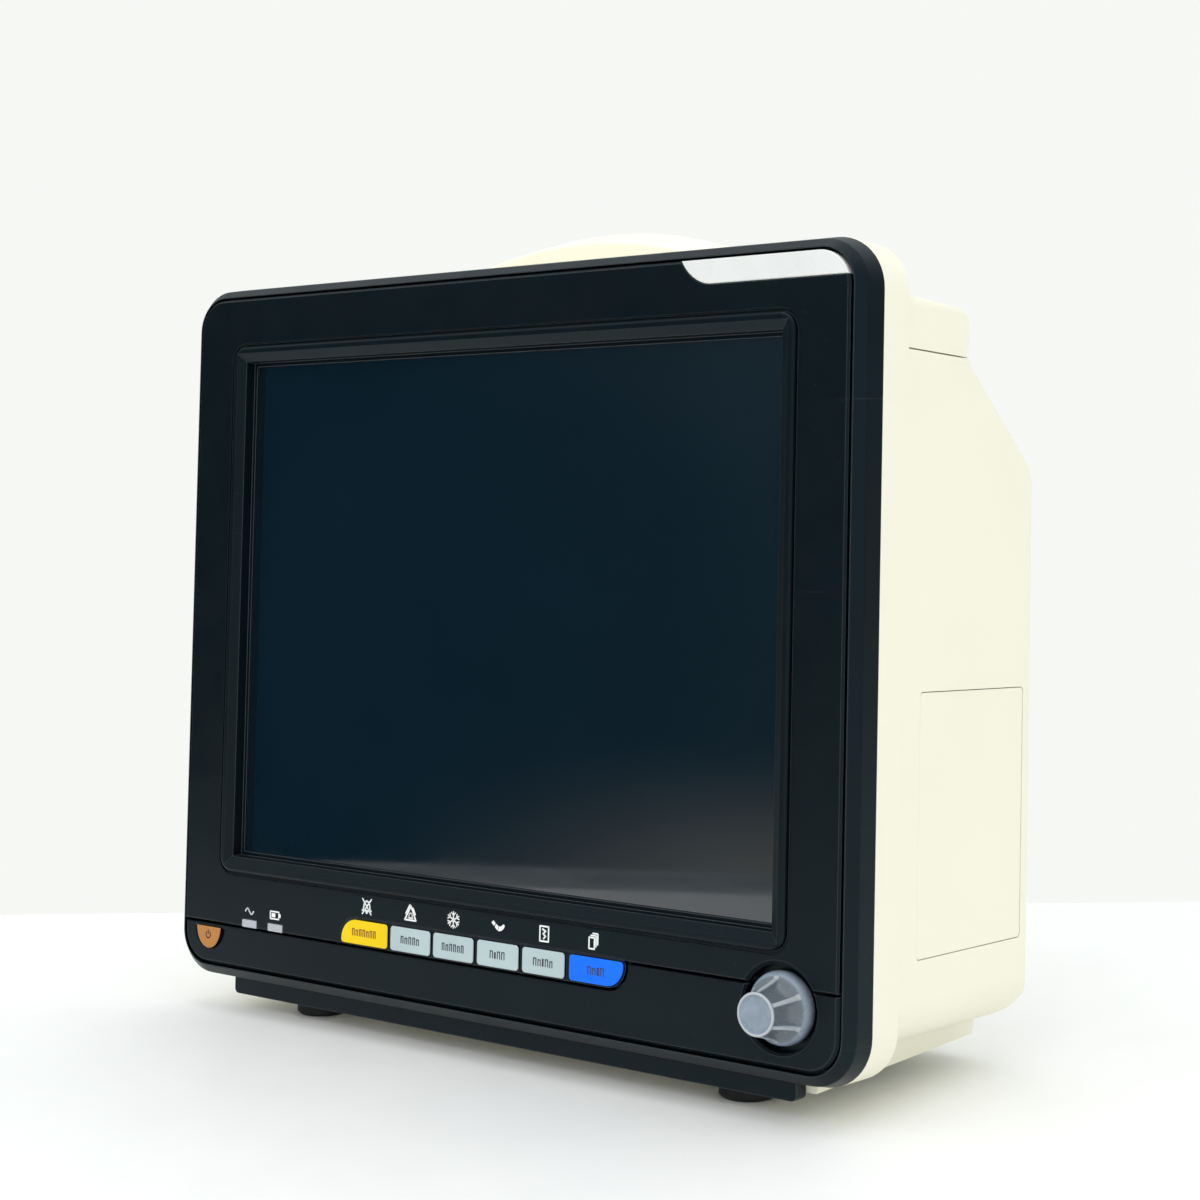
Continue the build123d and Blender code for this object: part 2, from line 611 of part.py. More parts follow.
def make_mount_inserts():
    rings = []
    for x, y in mount_points():
        ring = rod_z(x, y, INSERT_R, PLINTH_LEVEL, PLINTH_LEVEL + INSERT_L)
        rings.append(ring - rod_z(x, y, INSERT_BORE_R, PLINTH_LEVEL - 1, PLINTH_LEVEL + INSERT_L + 1))
    return Compound(children=rings)


def arch_sketch(outer_r, inner_r):
    """Ring sector of the handle, above the cap's upper face."""
    z_mid = HANDLE_APEX_Z - HANDLE_R
    ring = Pos(0, z_mid) * (Circle(outer_r) - Circle(inner_r))
    return ring & rect(-140, 140, CAP_Z[1] - 4, HANDLE_APEX_Z + 5)


def make_arch():
    """The handle's solid arch: a ring turned about its centre, cut off at the cap."""
    front, ridge, back = HANDLE_Y
    inner = HANDLE_R - HANDLE_T
    profile = make_face(Polyline((front, inner), (back, inner), (back, HANDLE_R), (ridge, HANDLE_R),
                                 (front, HANDLE_R - HANDLE_FALL), close=True))
    profile = rounded_at(profile, [(back, HANDLE_R, HANDLE_BACK_R), (front, HANDLE_R - HANDLE_FALL, 1.5),
                                   (front, inner, 2.0), (back, inner, 2.0)])
    upright = Plane((0, 0, 0), x_dir=(0, 1, 0), z_dir=(1, 0, 0)).location * profile
    arch = Pos(0, 0, HANDLE_APEX_Z - HANDLE_R) * revolve(upright, Axis.Y)
    arch &= block((-140, 140), (0, 120), (CAP_Z[1] - 4, HANDLE_APEX_Z + 5))
    slant = Polyline((CAP_Y, CAP_Z[1] - 10), (CAP_Y, CAP_Z[1]), (back, HANDLE_STEP_Z), (back + 5, HANDLE_STEP_Z),
                     (back + 5, CAP_Z[1] - 10), close=True)
    return arch - side_slab(make_face(slant), -200, 200)


def make_handle_cap():
    """Separate top moulding with the arched carrying handle."""
    y0, y1 = BAND_Y[1] + GAP, CAP_Y
    z0, z1 = CAP_Z
    z_front = z1 + CAP_RISE
    section = rounded_at(rect(-BODY_HALF_W, BODY_HALF_W, z0, z_front),
                         [(-BODY_HALF_W, z_front, 4), (BODY_HALF_W, z_front, 4)])
    side = make_face(Polyline((y0, z0), (y1, z0), (y1, z1), (y0, z_front), close=True))
    side = rounded_at(side, [(y1, z1, 7)])
    plan = rounded_at(rect(-BODY_HALF_W, BODY_HALF_W, y0, y1),
                      [(-BODY_HALF_W, y1, CAP_PLAN_R), (BODY_HALF_W, y1, CAP_PLAN_R)])
    cap = front_slab(section, 0, 120) & side_slab(side, -200, 200) & extrude(plan, 320)
    hand = block((-HAND_HALF_W, HAND_HALF_W), (HAND_Y, 90), (HAND_FLOOR_Z, z1 + 5))
    cap -= hand
    hollow = block((-BODY_HALF_W + WALL, BODY_HALF_W - WALL), (y0 + WALL, y1 - WALL), (z0 - 1, z1 - WALL))
    hollow -= block((-HAND_HALF_W - WALL, HAND_HALF_W + WALL), (HAND_Y - WALL, 90), (HAND_FLOOR_Z - WALL, 300))
    cap -= hollow
    recess = front_slab(arch_sketch(HANDLE_R - HANDLE_T + GRIP_T + 0.1, HANDLE_R - HANDLE_T - 5), *GRIP_Y)
    recess &= block((-HAND_HALF_W + 2, HAND_HALF_W - 2), (0, 120), (CAP_Z[1] + 4, 300))
    return cap + (make_arch() - recess)


def make_handle_grip():
    """Soft liner let into the underside of the handle."""
    inner = HANDLE_R - HANDLE_T
    grip = front_slab(arch_sketch(inner + GRIP_T, inner - 0.6), GRIP_Y[0] + 0.1, GRIP_Y[1] - 0.1)
    return grip & block((-HAND_HALF_W + 2.1, HAND_HALF_W - 2.1), (0, 120), (CAP_Z[1] + 4.1, 300))


def make_recorder_cover():
    """Blank cover, flush with the side, held by two inner tabs."""
    x1 = BODY_HALF_W - 0.15
    y0, y1, z0, z1 = BAY_Y[0] + GAP, BAY_Y[1] - GAP, BAY_Z[0] + GAP, BAY_Z[1] - GAP
    plate = side_slab(rect(y0, y1, z0, z1, BAY_R), x1 - WALL, x1)
    rib = side_slab(rect(y0 + 3, y1 - 3, z0 + 3, z1 - 3) - rect(y0 + 5, y1 - 5, z0 + 5, z1 - 5),
                    x1 - WALL - 5, x1 - WALL)
    plate += rib
    for z in (z0 + 22, z1 - 22):
        plate += block((x1 - WALL - 5, x1 - WALL - 3.2), (y0 - 3, y0 + 3.5), (z - 6, z + 6))
        plate += block((x1 - WALL - 5, x1 - WALL - 3.2), (y1 - 3.5, y1 + 1.5), (z - 6, z + 6))
    return plate


# ---------------------------------------------------------------- left side sockets
def make_sensor_panel():
    """Module plates stacked behind the opening in the side, one for each socket."""
    x0, x1 = SENSOR_PLATE_X
    y0, y1 = SENSOR_Y[0] - 5, SENSOR_Y[1] + 5
    heights = (SENSOR_Z[0] - 5, *MODULE_Z, SENSOR_Z[1] + 5)
    holes = [rod_x(y, z, r + 0.15, x0 - 1, x1 + 1) for y, z, r in round_sockets()]
    holes.append(side_slab(Pos(SENSOR_MID_Y, SPO2_Z) * RectangleRounded(21.3, 13.3, 3.0), x0 - 1, x1 + 1))
    plates = []
    for low, high in zip(heights, heights[1:]):
        paired = low < TEMP_Z < high or low < IBP_Z < high
        for left, right in ((y0, SENSOR_MID_Y), (SENSOR_MID_Y, y1)) if paired else ((y0, y1),):
            inset = GAP / 2
            plate = side_slab(rect(left + inset, right - inset, low + inset, high - inset, 1.0), x0, x1)
            for hole in holes:
                plate -= hole
            plates.append(plate)
    return Compound(children=plates)


def round_sockets():
    """Every round socket: y, z and outer radius."""
    pairs = [(y, TEMP_Z, 6.0) for y in SENSOR_COL_Y] + [(y, IBP_Z, 8.5) for y in SENSOR_COL_Y]
    return [(SENSOR_MID_Y, ECG_Z, 10.5), (SENSOR_MID_Y, NIBP_Z, 9.0)] + pairs


def make_socket(y, z, outer_r, bore_r, depth):
    """Cup-shaped round socket with a collar in front of the panel."""
    x0, x1 = SOCKET_X
    body = rod_x(y, z, outer_r, x0, x1) + rod_x(y, z, outer_r + 1.2, x0 + 0.6, SENSOR_PLATE_X[0] - 0.1)
    return body - rod_x(y, z, bore_r, x0 - 1, x0 + depth)


def make_ecg_socket():
    socket = make_socket(SENSOR_MID_Y, ECG_Z, 10.5, 8.0, 13.0)
    return socket + block((SOCKET_X[0] + 3, SOCKET_X[0] + 13.5), (SENSOR_MID_Y - 1.2, SENSOR_MID_Y + 1.2),
                          (ECG_Z + 6.0, ECG_Z + 8.5))


def make_spo2_socket():
    y, z = SENSOR_MID_Y, SPO2_Z
    body = side_slab(rect(y - 10.5, y + 10.5, z - 6.5, z + 6.5, 3.0), *SOCKET_X)
    body += side_slab(rect(y - 11.7, y + 11.7, z - 7.7, z + 7.7, 3.5), SOCKET_X[0] + 0.6, SENSOR_PLATE_X[0] - 0.1)
    return body - side_slab(rect(y - 8.5, y + 8.5, z - 4.5, z + 4.5, 2.0), SOCKET_X[0] - 1, SOCKET_X[0] + 12)


def make_temp_sockets():
    return Compound(children=[make_socket(y, TEMP_Z, 6.0, 3.2, 14.0) for y in SENSOR_COL_Y])


def make_pressure_sockets():
    return Compound(children=[make_socket(y, IBP_Z, 8.5, 6.3, 12.0) for y in SENSOR_COL_Y])


def make_cuff_port():
    """Air connector for the arm cuff: a collar with a hollow spigot inside."""
    y, z = SENSOR_MID_Y, NIBP_Z
    port = make_socket(y, z, 9.0, 7.2, 12.0)
    port += rod_x(y, z, 2.6, SOCKET_X[0] + 0.8, SOCKET_X[0] + 13)
    return port - rod_x(y, z, 1.3, SOCKET_X[0] - 1, SOCKET_X[1] + 1)


# ---------------------------------------------------------------- rear connectors
def make_ac_inlet():
    """Three-pole mains inlet with a recess for the fuse drawer above it."""
    x, z = INLET_X, INLET_Z
    body = front_slab(rect(x - 14, x + 14, z - 12, z + 19), 88, REAR_Y + 1.8)
    body += front_slab(rect(x - 17, x + 17, z - 15, z + 22, 3.0), REAR_Y + 0.05, REAR_Y + 1.8)
    mouth = rounded_at(rect(x - 12, x + 12, z - 8.3, z + 8.3), [(x - 12, z + 8.3, 4.5), (x + 12, z + 8.3, 4.5)])
    body -= front_slab(mouth, 96, REAR_Y + 5)
    return body - front_slab(rect(x - 11.2, x + 11.2, z + 10.3, z + 17.5), 91, REAR_Y + 5)


def make_inlet_pins():
    x, z = INLET_X, INLET_Z
    pins = [block((x + dx - 1, x + dx + 1), (96.05, 107), (z + dz - 2.2, z + dz + 2.2))
            for dx, dz in ((-7, -2), (7, -2), (0, 2.5))]
    return Compound(children=pins)


def make_fuse_drawer():
    x, z = INLET_X, INLET_Z
    drawer = front_slab(rect(x - 10.9, x + 10.9, z + 10.6, z + 17.2), 91.5, REAR_Y + 1.6)
    for dx in (-5.2, 5.2):
        drawer -= block((x + dx - 3.2, x + dx + 3.2), (93, 108), (z + 11.6, z + 20))
    return drawer + block((x - 4, x + 4), (REAR_Y + 1.6, REAR_Y + 3.0), (z + 12.4, z + 15.4))


def make_ground_stud():
    stud = rod_y(STUD_X, STUD_Z, 3.0, REAR_Y - 9, REAR_Y + 8)
    flange = front_slab(Pos(STUD_X, STUD_Z) * RegularPolygon(5.5, 6), REAR_Y + 0.05, REAR_Y + 2.6)
    nut = front_slab(Pos(STUD_X, STUD_Z) * RegularPolygon(5.5, 6), REAR_Y - 6, REAR_Y - WALL - 0.1)
    return stud + flange + nut


def make_network_port():
    x, z = NET_X, NET_Z
    body = front_slab(rect(x - 8, x + 8, z - 7, z + 7), 92, REAR_Y + 0.4)
    cavity = rect(x - 6, x + 6, z - 4.5, z + 3.2) + rect(x - 3.2, x + 3.2, z - 6, z + 3)
    return body - front_slab(cavity, 98, REAR_Y + 5)


def make_battery_cover():
    y1 = REAR_Y - 0.1
    outer = rect(BATTERY_X[0] + GAP, BATTERY_X[1] - GAP, BATTERY_Z[0] + GAP, BATTERY_Z[1] - GAP, 3.0)
    plate = front_slab(outer, REAR_Y - 1.5, y1)
    inner = rect(BATTERY_X[0] + 6.4, BATTERY_X[1] - 6.4, BATTERY_Z[0] + 4.4, BATTERY_Z[1] - 4.4)
    plate += front_slab(inner, REAR_Y - 3.0, REAR_Y - 1.5)
    for x, z in battery_screw_points():
        plate -= rod_y(x, z, SCREW_R + 0.2, 100, 120)
    return plate


def battery_screw_points():
    z = sum(BATTERY_Z) / 2
    return [(BATTERY_X[0] + 3.2, z), (BATTERY_X[1] - 3.2, z)]


def cross_screw(x, z, head, shaft):
    """Pan-head screw with a cross recess; head is (radius, y, thickness), shaft (radius, y of tip)."""
    head_r, y, thick = head
    body = rod_y(x, z, head_r, y, y + thick)
    body = fillet(edges_on_y(body, y + thick), thick * 0.4)
    cross = rect(-0.6 * head_r, 0.6 * head_r, -0.35, 0.35) + rect(-0.35, 0.35, -0.6 * head_r, 0.6 * head_r)
    body -= front_slab(Pos(x, z) * cross, y + thick * 0.5, y + thick + 1)
    return body + rod_y(x, z, shaft[0], shaft[1], y)


def make_battery_screws():
    return Compound(children=[cross_screw(x, z, (2.6, REAR_Y, 1.5), (1.2, REAR_Y - 1.55))
                              for x, z in battery_screw_points()])


def make_housing_screws():
    return Compound(children=[cross_screw(x, z, (SCREW_HEAD_R, SCREW_SEAT_Y, SCREW_HEAD_T), (SCREW_R, SCREW_TIP_Y))
                              for x in (-COLUMN_X, COLUMN_X) for z in COLUMN_Z])


# ---------------------------------------------------------------- inside the housing
def make_chassis_plate():
    plate = block((-136, 136), (34, 35.2), (32, 234))
    plate += block((-136, 136), (35.2, 45), (232.8, 234))
    plate += block((-136, 136), (35.2, 45), (32, 33.2))
    for x in (-100, 0, 100):
        for z in (60, 205):
            plate -= rod_y(x, z, 12, 30, 40)
    return plate


def make_main_board():
    board = block((-55, 125), (39, 39 + BOARD_T), (112, 222))
    top = 39 + BOARD_T
    parts = [((-30, 0), 2.2, (150, 180)), ((20, 45), 2.0, (160, 185)), ((60, 110), 9.0, (118, 126)),
             ((-50, -42), 9.0, (120, 200)), ((75, 105), 3.0, (170, 200)), ((10, 55), 6.0, (205, 212))]
    for x, h, z in parts:
        board += block(x, (top, top + h), z)
    return board


def make_power_supply():
    tray = block((48, 134), (62, 98), (98, 190)) - block((49.2, 132.8), (60, 96.8), (99.2, 188.8))
    tray += block((49.2, 132.8), (90, 91.6), (99.2, 188.8))
    for x, r, z in ((66, 9, 120), (66, 9, 145), (92, 7, 170)):
        tray += rod_y(x, z, r, 66, 90)
    return tray + block((80, 118), (68, 90), (112, 150))


def make_parameter_module():
    case = block((-134, -104), (38, 98), (96, 200)) - block((-135, -106), (39.5, 96.5), (97.5, 198.5))
    return case + block((-132, -130.4), (39.5, 96.5), (97.5, 198.5))


def make_air_pump():
    motor = rod_x(70, 60, 13, -96, -66)
    head = block((-66, -44), (56, 84), (46, 74))
    return motor + head + rod_x(70, 60, 2.0, -44, -36)


def make_battery_pack():
    pack = block((BATTERY_X[0] + 10, BATTERY_X[1] - 10), (84, 106), (BATTERY_Z[0] + 6, BATTERY_Z[1] - 6))
    return fillet(pack.edges().filter_by(Axis.X), 3.0)


def make_speaker():
    x, z = VENT_X[0], sum(VENT_Z) / 2
    y1 = REAR_Y - WALL - 0.4
    cone = rod_y(x, z, 20, y1 - 3, y1) - rod_y(x, z, 16, y1 - 1.2, y1 + 1)
    return cone + rod_y(x, z, 11, y1 - 11, y1 - 3)


NODES = {
    "front_bezel": make_front_bezel,
    "display_fascia": make_display_fascia,
    "lower_fascia": make_lower_fascia,
    "display_window": make_display_window,
    "display_gasket": make_display_gasket,
    "lcd_panel": make_lcd_panel,
    "lcd_bracket": make_lcd_bracket,
    "alarm_lamp_lens": make_alarm_lamp_lens,
    "alarm_lamp_board": make_alarm_lamp_board,
    "mains_indicator": lambda: make_indicator(LAMP_X[0]),
    "power_indicator": lambda: make_indicator(LAMP_X[1]),
    "power_key": make_power_key,
    "keypad_board": make_keypad_board,
    "key_switches": make_key_switches,
    "control_knob": make_control_knob,
    "encoder_shaft": make_encoder_shaft,
    "encoder_plunger": make_encoder_plunger,
    "encoder_body": make_encoder_body,
    "handle_cap": make_handle_cap,
    "handle_grip": make_handle_grip,
    "recorder_blank_cover": make_recorder_cover,
    "sensor_panel": make_sensor_panel,
    "ecg_socket": make_ecg_socket,
    "spo2_socket": make_spo2_socket,
    "temperature_sockets": make_temp_sockets,
    "invasive_pressure_sockets": make_pressure_sockets,
    "cuff_port": make_cuff_port,
    "ac_inlet": make_ac_inlet,
    "ac_inlet_pins": make_inlet_pins,
    "fuse_drawer": make_fuse_drawer,
    "ground_stud": make_ground_stud,
    "network_port": make_network_port,
    "battery_cover": make_battery_cover,
    "battery_cover_screws": make_battery_screws,
    "housing_screws": make_housing_screws,
    "chassis_plate": make_chassis_plate,
    "main_board": make_main_board,
    "power_supply": make_power_supply,
    "parameter_module": make_parameter_module,
    "air_pump": make_air_pump,
    "battery_pack": make_battery_pack,
    "speaker": make_speaker,
}
for key_name in KEYS:
    NODES[key_name] = lambda name=key_name: make_row_key(name)

pieces = {name: lean(make()) for name, make in NODES.items()}
pieces["rear_housing"] = make_rear_housing()
pieces["rubber_feet"] = make_rubber_feet()
pieces["mount_inserts"] = make_mount_inserts()

# The origin is the middle of the footprint, on the surface that the feet stand on.
bounds = [piece.bounding_box() for piece in pieces.values()]
y_mid = (min(b.min.Y for b in bounds) + max(b.max.Y for b in bounds)) / 2
z_floor = min(b.min.Z for b in bounds)
for name, piece in pieces.items():
    export_step(Pos(0, -y_mid, -z_floor) * piece, f"parts/{name}.step")
print("shift from the drawn frame:", round(-y_mid, 4), round(-z_floor, 4))
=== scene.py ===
import json
from math import atan2, cos, pi, radians, sin

import bmesh
import bpy
from mathutils import Matrix, Vector


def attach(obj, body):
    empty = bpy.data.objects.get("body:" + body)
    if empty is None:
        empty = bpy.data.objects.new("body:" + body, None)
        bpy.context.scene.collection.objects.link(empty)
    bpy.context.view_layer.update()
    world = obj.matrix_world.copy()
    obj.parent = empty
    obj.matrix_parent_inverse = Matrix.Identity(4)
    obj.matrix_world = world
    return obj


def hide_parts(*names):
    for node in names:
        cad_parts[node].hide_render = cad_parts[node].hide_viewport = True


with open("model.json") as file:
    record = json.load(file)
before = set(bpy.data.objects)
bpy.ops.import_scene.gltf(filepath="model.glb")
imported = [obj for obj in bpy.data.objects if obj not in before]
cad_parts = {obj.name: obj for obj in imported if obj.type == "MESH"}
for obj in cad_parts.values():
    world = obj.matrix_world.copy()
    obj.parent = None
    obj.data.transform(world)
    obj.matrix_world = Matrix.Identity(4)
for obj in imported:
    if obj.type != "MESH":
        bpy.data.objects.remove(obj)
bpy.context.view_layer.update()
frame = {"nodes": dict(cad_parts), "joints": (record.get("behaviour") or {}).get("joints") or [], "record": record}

MM = 0.001
NODES = frame["nodes"]
JOINTS = {joint["name"]: joint for joint in frame["joints"]}
NODE_SLOT = {entry["node"]: entry["material_slot"] for entry in frame["record"]["subparts"]}

# ---------------------------------------------------------------- the leaning front panel
# Panel coordinates: x as in the row frame, y into the housing along the keys' press direction,
# z up the panel, with the origin on the knob's axis at the panel's face.
PRESS = Vector(JOINTS["knob_turn"]["axis"]).normalized()
KNOB_AT = Vector(JOINTS["knob_turn"]["pos_m"])
PANEL = Matrix.Translation(KNOB_AT) @ Matrix.Rotation(atan2(PRESS.z, PRESS.y), 4, "X")
TO_PANEL = PANEL.inverted()


def on_panel(x, y, z):
    return PANEL @ Vector((x, y, z))


def panel_box(node):
    """Limits of a CAD node in panel coordinates."""
    points = [TO_PANEL @ v.co for v in NODES[node].data.vertices]
    low = Vector([min(p[i] for p in points) for i in range(3)])
    high = Vector([max(p[i] for p in points) for i in range(3)])
    return low, high


def panel_centre(node):
    low, high = panel_box(node)
    return (low + high) / 2


# ---------------------------------------------------------------- node materials
BLACK = (0.0016, 0.0046, 0.0068)
CREAM = (0.890, 0.866, 0.712)
DUST = (0.055, 0.062, 0.066)
SCRATCH = (0.05, 0.056, 0.06)
# painted highlight: the pale colour laid along edges as if they caught the light
EDGE_HIGHLIGHT = (0.120, 0.138, 0.146)
EDGE_HIGHLIGHT_SHARE = 0.75                 # how much of the painted edge highlight an edge takes
TEAL_SHEEN = (0.74, 0.94, 1.0, 1)
DULL = 0.22                       # specular level of the satin plastics
RUBBER_ROUGHNESS = 0.75
KEY_RIM_HIGHLIGHT = (0.70, 0.74, 0.73)
# painted shade for the knob's flutes and painted highlight for its crests and the disc's rim
KNOB_FLUTE_SHADE = (0.125, 0.145, 0.160)
KNOB_CREST_HIGHLIGHT = (0.44, 0.47, 0.48)
PAINTED_LIGHT_ATTRIBUTE = "crest"                   # attribute of painted light on the knob: 1 for the painted highlight on its crests, below 0 for painted shade in its flutes
SCRATCH_TILT = 0.5                # radians about Y
SCRATCH_SCALE = (14, 14, 900)     # long along X and Y, thin along Z
BRUSH_SCALE = (40, 2500, 2500)    # long along X
BAND_SCALE = 0.314                # the wave texture's scale for bands 1 m apart


class Finish:
    """A node material around one Principled shader, with short names for what is used most."""

    def __init__(self, name, color, roughness, **sockets):
        self.material = bpy.data.materials.new(name)
        self.material.use_nodes = True
        self.tree = self.material.node_tree
        self.shader = self.tree.nodes["Principled BSDF"]
        self.shader.inputs["Base Color"].default_value = (*color, 1)
        self.shader.inputs["Roughness"].default_value = roughness
        for socket, value in sockets.items():
            self.shader.inputs[socket.replace("_", " ")].default_value = value
        self.place = self.add("ShaderNodeTexCoord").outputs["Object"]
        self.normal = None

    def add(self, kind, settings=(), **inputs):
        """New node; an input is named by its socket, or by its number after an underscore."""
        node = self.tree.nodes.new(kind)
        for key, value in dict(settings).items():
            setattr(node, key, value)
        for key, value in inputs.items():
            socket = node.inputs[int(key[1:]) if key[1:].isdigit() else key.replace("_", " ")]
            if isinstance(value, bpy.types.NodeSocket):
                self.tree.links.new(value, socket)
            else:
                socket.default_value = value
        return node

    def noise(self, size, detail=2.0, rough=0.5):
        """Noise whose blotches are about that size, in metres."""
        node = self.add("ShaderNodeTexNoise", Vector=self.place, Scale=1 / size, Detail=detail,
                        Roughness=rough)
        return node.outputs["Fac"]

    def cells(self, size):
        """Distance to the nearest of scattered points that are about that far apart, in metres."""
        return self.add("ShaderNodeTexVoronoi", Vector=self.place, Scale=1 / size).outputs["Distance"]

    def bands(self, size):
        """Bands across X, that far apart, in metres."""
        node = self.add("ShaderNodeTexWave", {"bands_direction": "X"}, Vector=self.place,
                        Scale=BAND_SCALE / size)
        return node.outputs["Fac"]

    def spread(self, value, low, high, from_low=0.3, from_high=0.7):
        """Map from_low..from_high to low..high, and hold it there beyond."""
        node = self.add("ShaderNodeMapRange", Value=value, From_Min=from_low, From_Max=from_high,
                        To_Min=low, To_Max=high)
        return node.outputs["Result"]

    def blend(self, amount, a, b):
        """Colour a where amount is 0, b where it is 1."""
        node = self.add("ShaderNodeMix", {"data_type": "RGBA"})
        for name, value in (("Factor", amount), ("A", a), ("B", b)):
            socket = [s for s in node.inputs if s.name == name and s.enabled][0]
            if isinstance(value, bpy.types.NodeSocket):
                self.tree.links.new(value, socket)
            else:
                socket.default_value = value if name == "Factor" else (*value, 1)
        return [s for s in node.outputs if s.enabled][0]

    def times(self, a, b):
        return self.add("ShaderNodeMath", {"operation": "MULTIPLY"}, _0=a, _1=b).outputs["Value"]

    def match(self, a, b):
        """Cosine of the angle between two directions."""
        return self.add("ShaderNodeVectorMath", {"operation": "DOT_PRODUCT"}, _0=a, _1=b).outputs["Value"]

    def round_edges(self, radius):
        """Shade edges as if rounded; returns a mask that is 1 along them."""
        soft = self.add("ShaderNodeBevel", {"samples": 6}, Radius=radius).outputs["Normal"]
        flat = self.add("ShaderNodeNewGeometry").outputs["Normal"]
        self.normal = soft
        return self.spread(self.match(soft, flat), 1.0, 0.0, 0.82, 0.985)

    def set_color(self, value):
        self.tree.links.new(value, self.shader.inputs["Base Color"])

    def set_roughness(self, value):
        self.tree.links.new(value, self.shader.inputs["Roughness"])

    def bump(self, *layers):
        """Each layer is (height, depth in metres)."""
        normal = self.normal
        for height, depth in layers:
            node = self.add("ShaderNodeBump", Height=height, Distance=depth, Strength=1.0)
            if normal:
                self.tree.links.new(normal, node.inputs["Normal"])
            normal = node.outputs["Normal"]
        self.tree.links.new(normal, self.shader.inputs["Normal"])


def tint(color, factor):
    return tuple(min(1.0, c * factor) for c in color)


def black_moulded(name, color, roughness):
    """Black satin plastic with a painted highlight along its edges, a faint dusting and a few hairline scratches.
    """
    f = Finish(name, color, roughness, Specular_IOR_Level=DULL, Specular_Tint=TEAL_SHEEN)
    broad = f.spread(f.noise(0.06, 4.0, 0.6), 0, 1)
    shade = f.blend(broad, tint(color, 0.86), tint(color, 1.14))
    specks = f.spread(f.cells(4.2 * MM), 1.0, 0.0, 0.035, 0.075)
    shade = f.blend(f.times(f.times(specks, broad), 0.5), shade, DUST)
    along = f.add("ShaderNodeMapping", Vector=f.place, Rotation=(0, SCRATCH_TILT, 0), Scale=SCRATCH_SCALE)
    streaks = f.add("ShaderNodeTexNoise", Vector=along.outputs["Vector"], Scale=1.0, Detail=2.0)
    lines = f.spread(streaks.outputs["Fac"], 0, 1, 0.70, 0.74)
    scratch = f.times(lines, f.spread(f.noise(0.03, 2.0), 0, 1, 0.58, 0.66))
    shade = f.blend(f.times(scratch, 0.18), shade, SCRATCH)
    # painted highlight: the edges are lightened as if they caught the light
    shade = f.blend(f.times(f.round_edges(0.5 * MM), EDGE_HIGHLIGHT_SHARE), shade, EDGE_HIGHLIGHT)
    f.set_color(shade)
    f.set_roughness(f.spread(f.noise(0.018, 4.0, 0.6), roughness - 0.04, roughness + 0.06))
    f.bump((f.noise(0.35 * MM, 3.0, 0.6), 0.012 * MM), (f.noise(0.02, 2.0), 0.04 * MM))
    return f.material


def key_cap(name, color):
    """Key with a coloured face, a pale line along its edge that is partly its pale rim and partly a painted
    highlight, and dark side walls.
    """
    f = Finish(name, color, 0.42, Specular_IOR_Level=DULL)
    out = f.add("ShaderNodeNewGeometry").outputs["Normal"]
    facing = f.match(out, -PRESS)
    shade = f.blend(f.spread(f.noise(0.02, 3.0), 0, 1), tint(color, 0.95), tint(color, 1.05))
    # pale edge line: the key's pale rim with a painted highlight laid over it
    shade = f.blend(f.times(f.round_edges(0.45 * MM), 0.55), shade, KEY_RIM_HIGHLIGHT)
    f.set_color(f.blend(f.spread(facing, 0, 1, 0.15, 0.45), BLACK, shade))
    f.set_roughness(f.spread(f.noise(0.01, 4.0), 0.36, 0.50))
    f.bump((f.noise(0.25 * MM, 3.0), 0.008 * MM))
    return f.material


def moulded(name, color, roughness, grain=0.35, depth=0.02, mottle=0.05):
    """Spark-textured moulded plastic; grain and depth in millimetres."""
    f = Finish(name, color, roughness)
    broad = f.spread(f.noise(0.07, 3.0), 0, 1)
    f.set_color(f.blend(broad, tint(color, 1 - mottle), tint(color, 1 + mottle)))
    f.set_roughness(f.spread(f.noise(0.018, 4.0, 0.6), roughness - 0.05, roughness + 0.07))
    f.bump((f.noise(grain * MM, 3.0, 0.6), depth * MM), (f.noise(0.02, 2.0), 0.05 * MM))
    return f.material


def display_film():
    """Dark film over the display: deep teal, with faint clouding and specks of dust."""
    f = Finish("display_film", (0.0020, 0.0075, 0.0132), 0.03, IOR=1.85)
    cloud = f.blend(f.spread(f.noise(0.05, 3.0), 0, 1), (0.0017, 0.0066, 0.0118), (0.0024, 0.0084, 0.0146))
    dust = f.spread(f.cells(0.011), 1.0, 0.0, 0.010, 0.022)
    f.set_color(f.blend(f.times(dust, 0.25), cloud, (0.10, 0.13, 0.14)))
    f.set_roughness(f.spread(f.noise(0.035, 5.0, 0.65), 0.015, 0.06))
    return f.material


def lamp_diffuser():
    """Satin white lens."""
    color = (0.70, 0.71, 0.69)
    f = Finish("lamp_diffuser", color, 0.28)
    f.set_color(f.blend(f.spread(f.noise(0.03, 3.0), 0, 1), tint(color, 0.96), tint(color, 1.04)))
    f.set_roughness(f.spread(f.noise(0.01, 4.0), 0.24, 0.34))
    f.bump((f.noise(0.4 * MM, 2.0), 0.004 * MM))
    return f.material


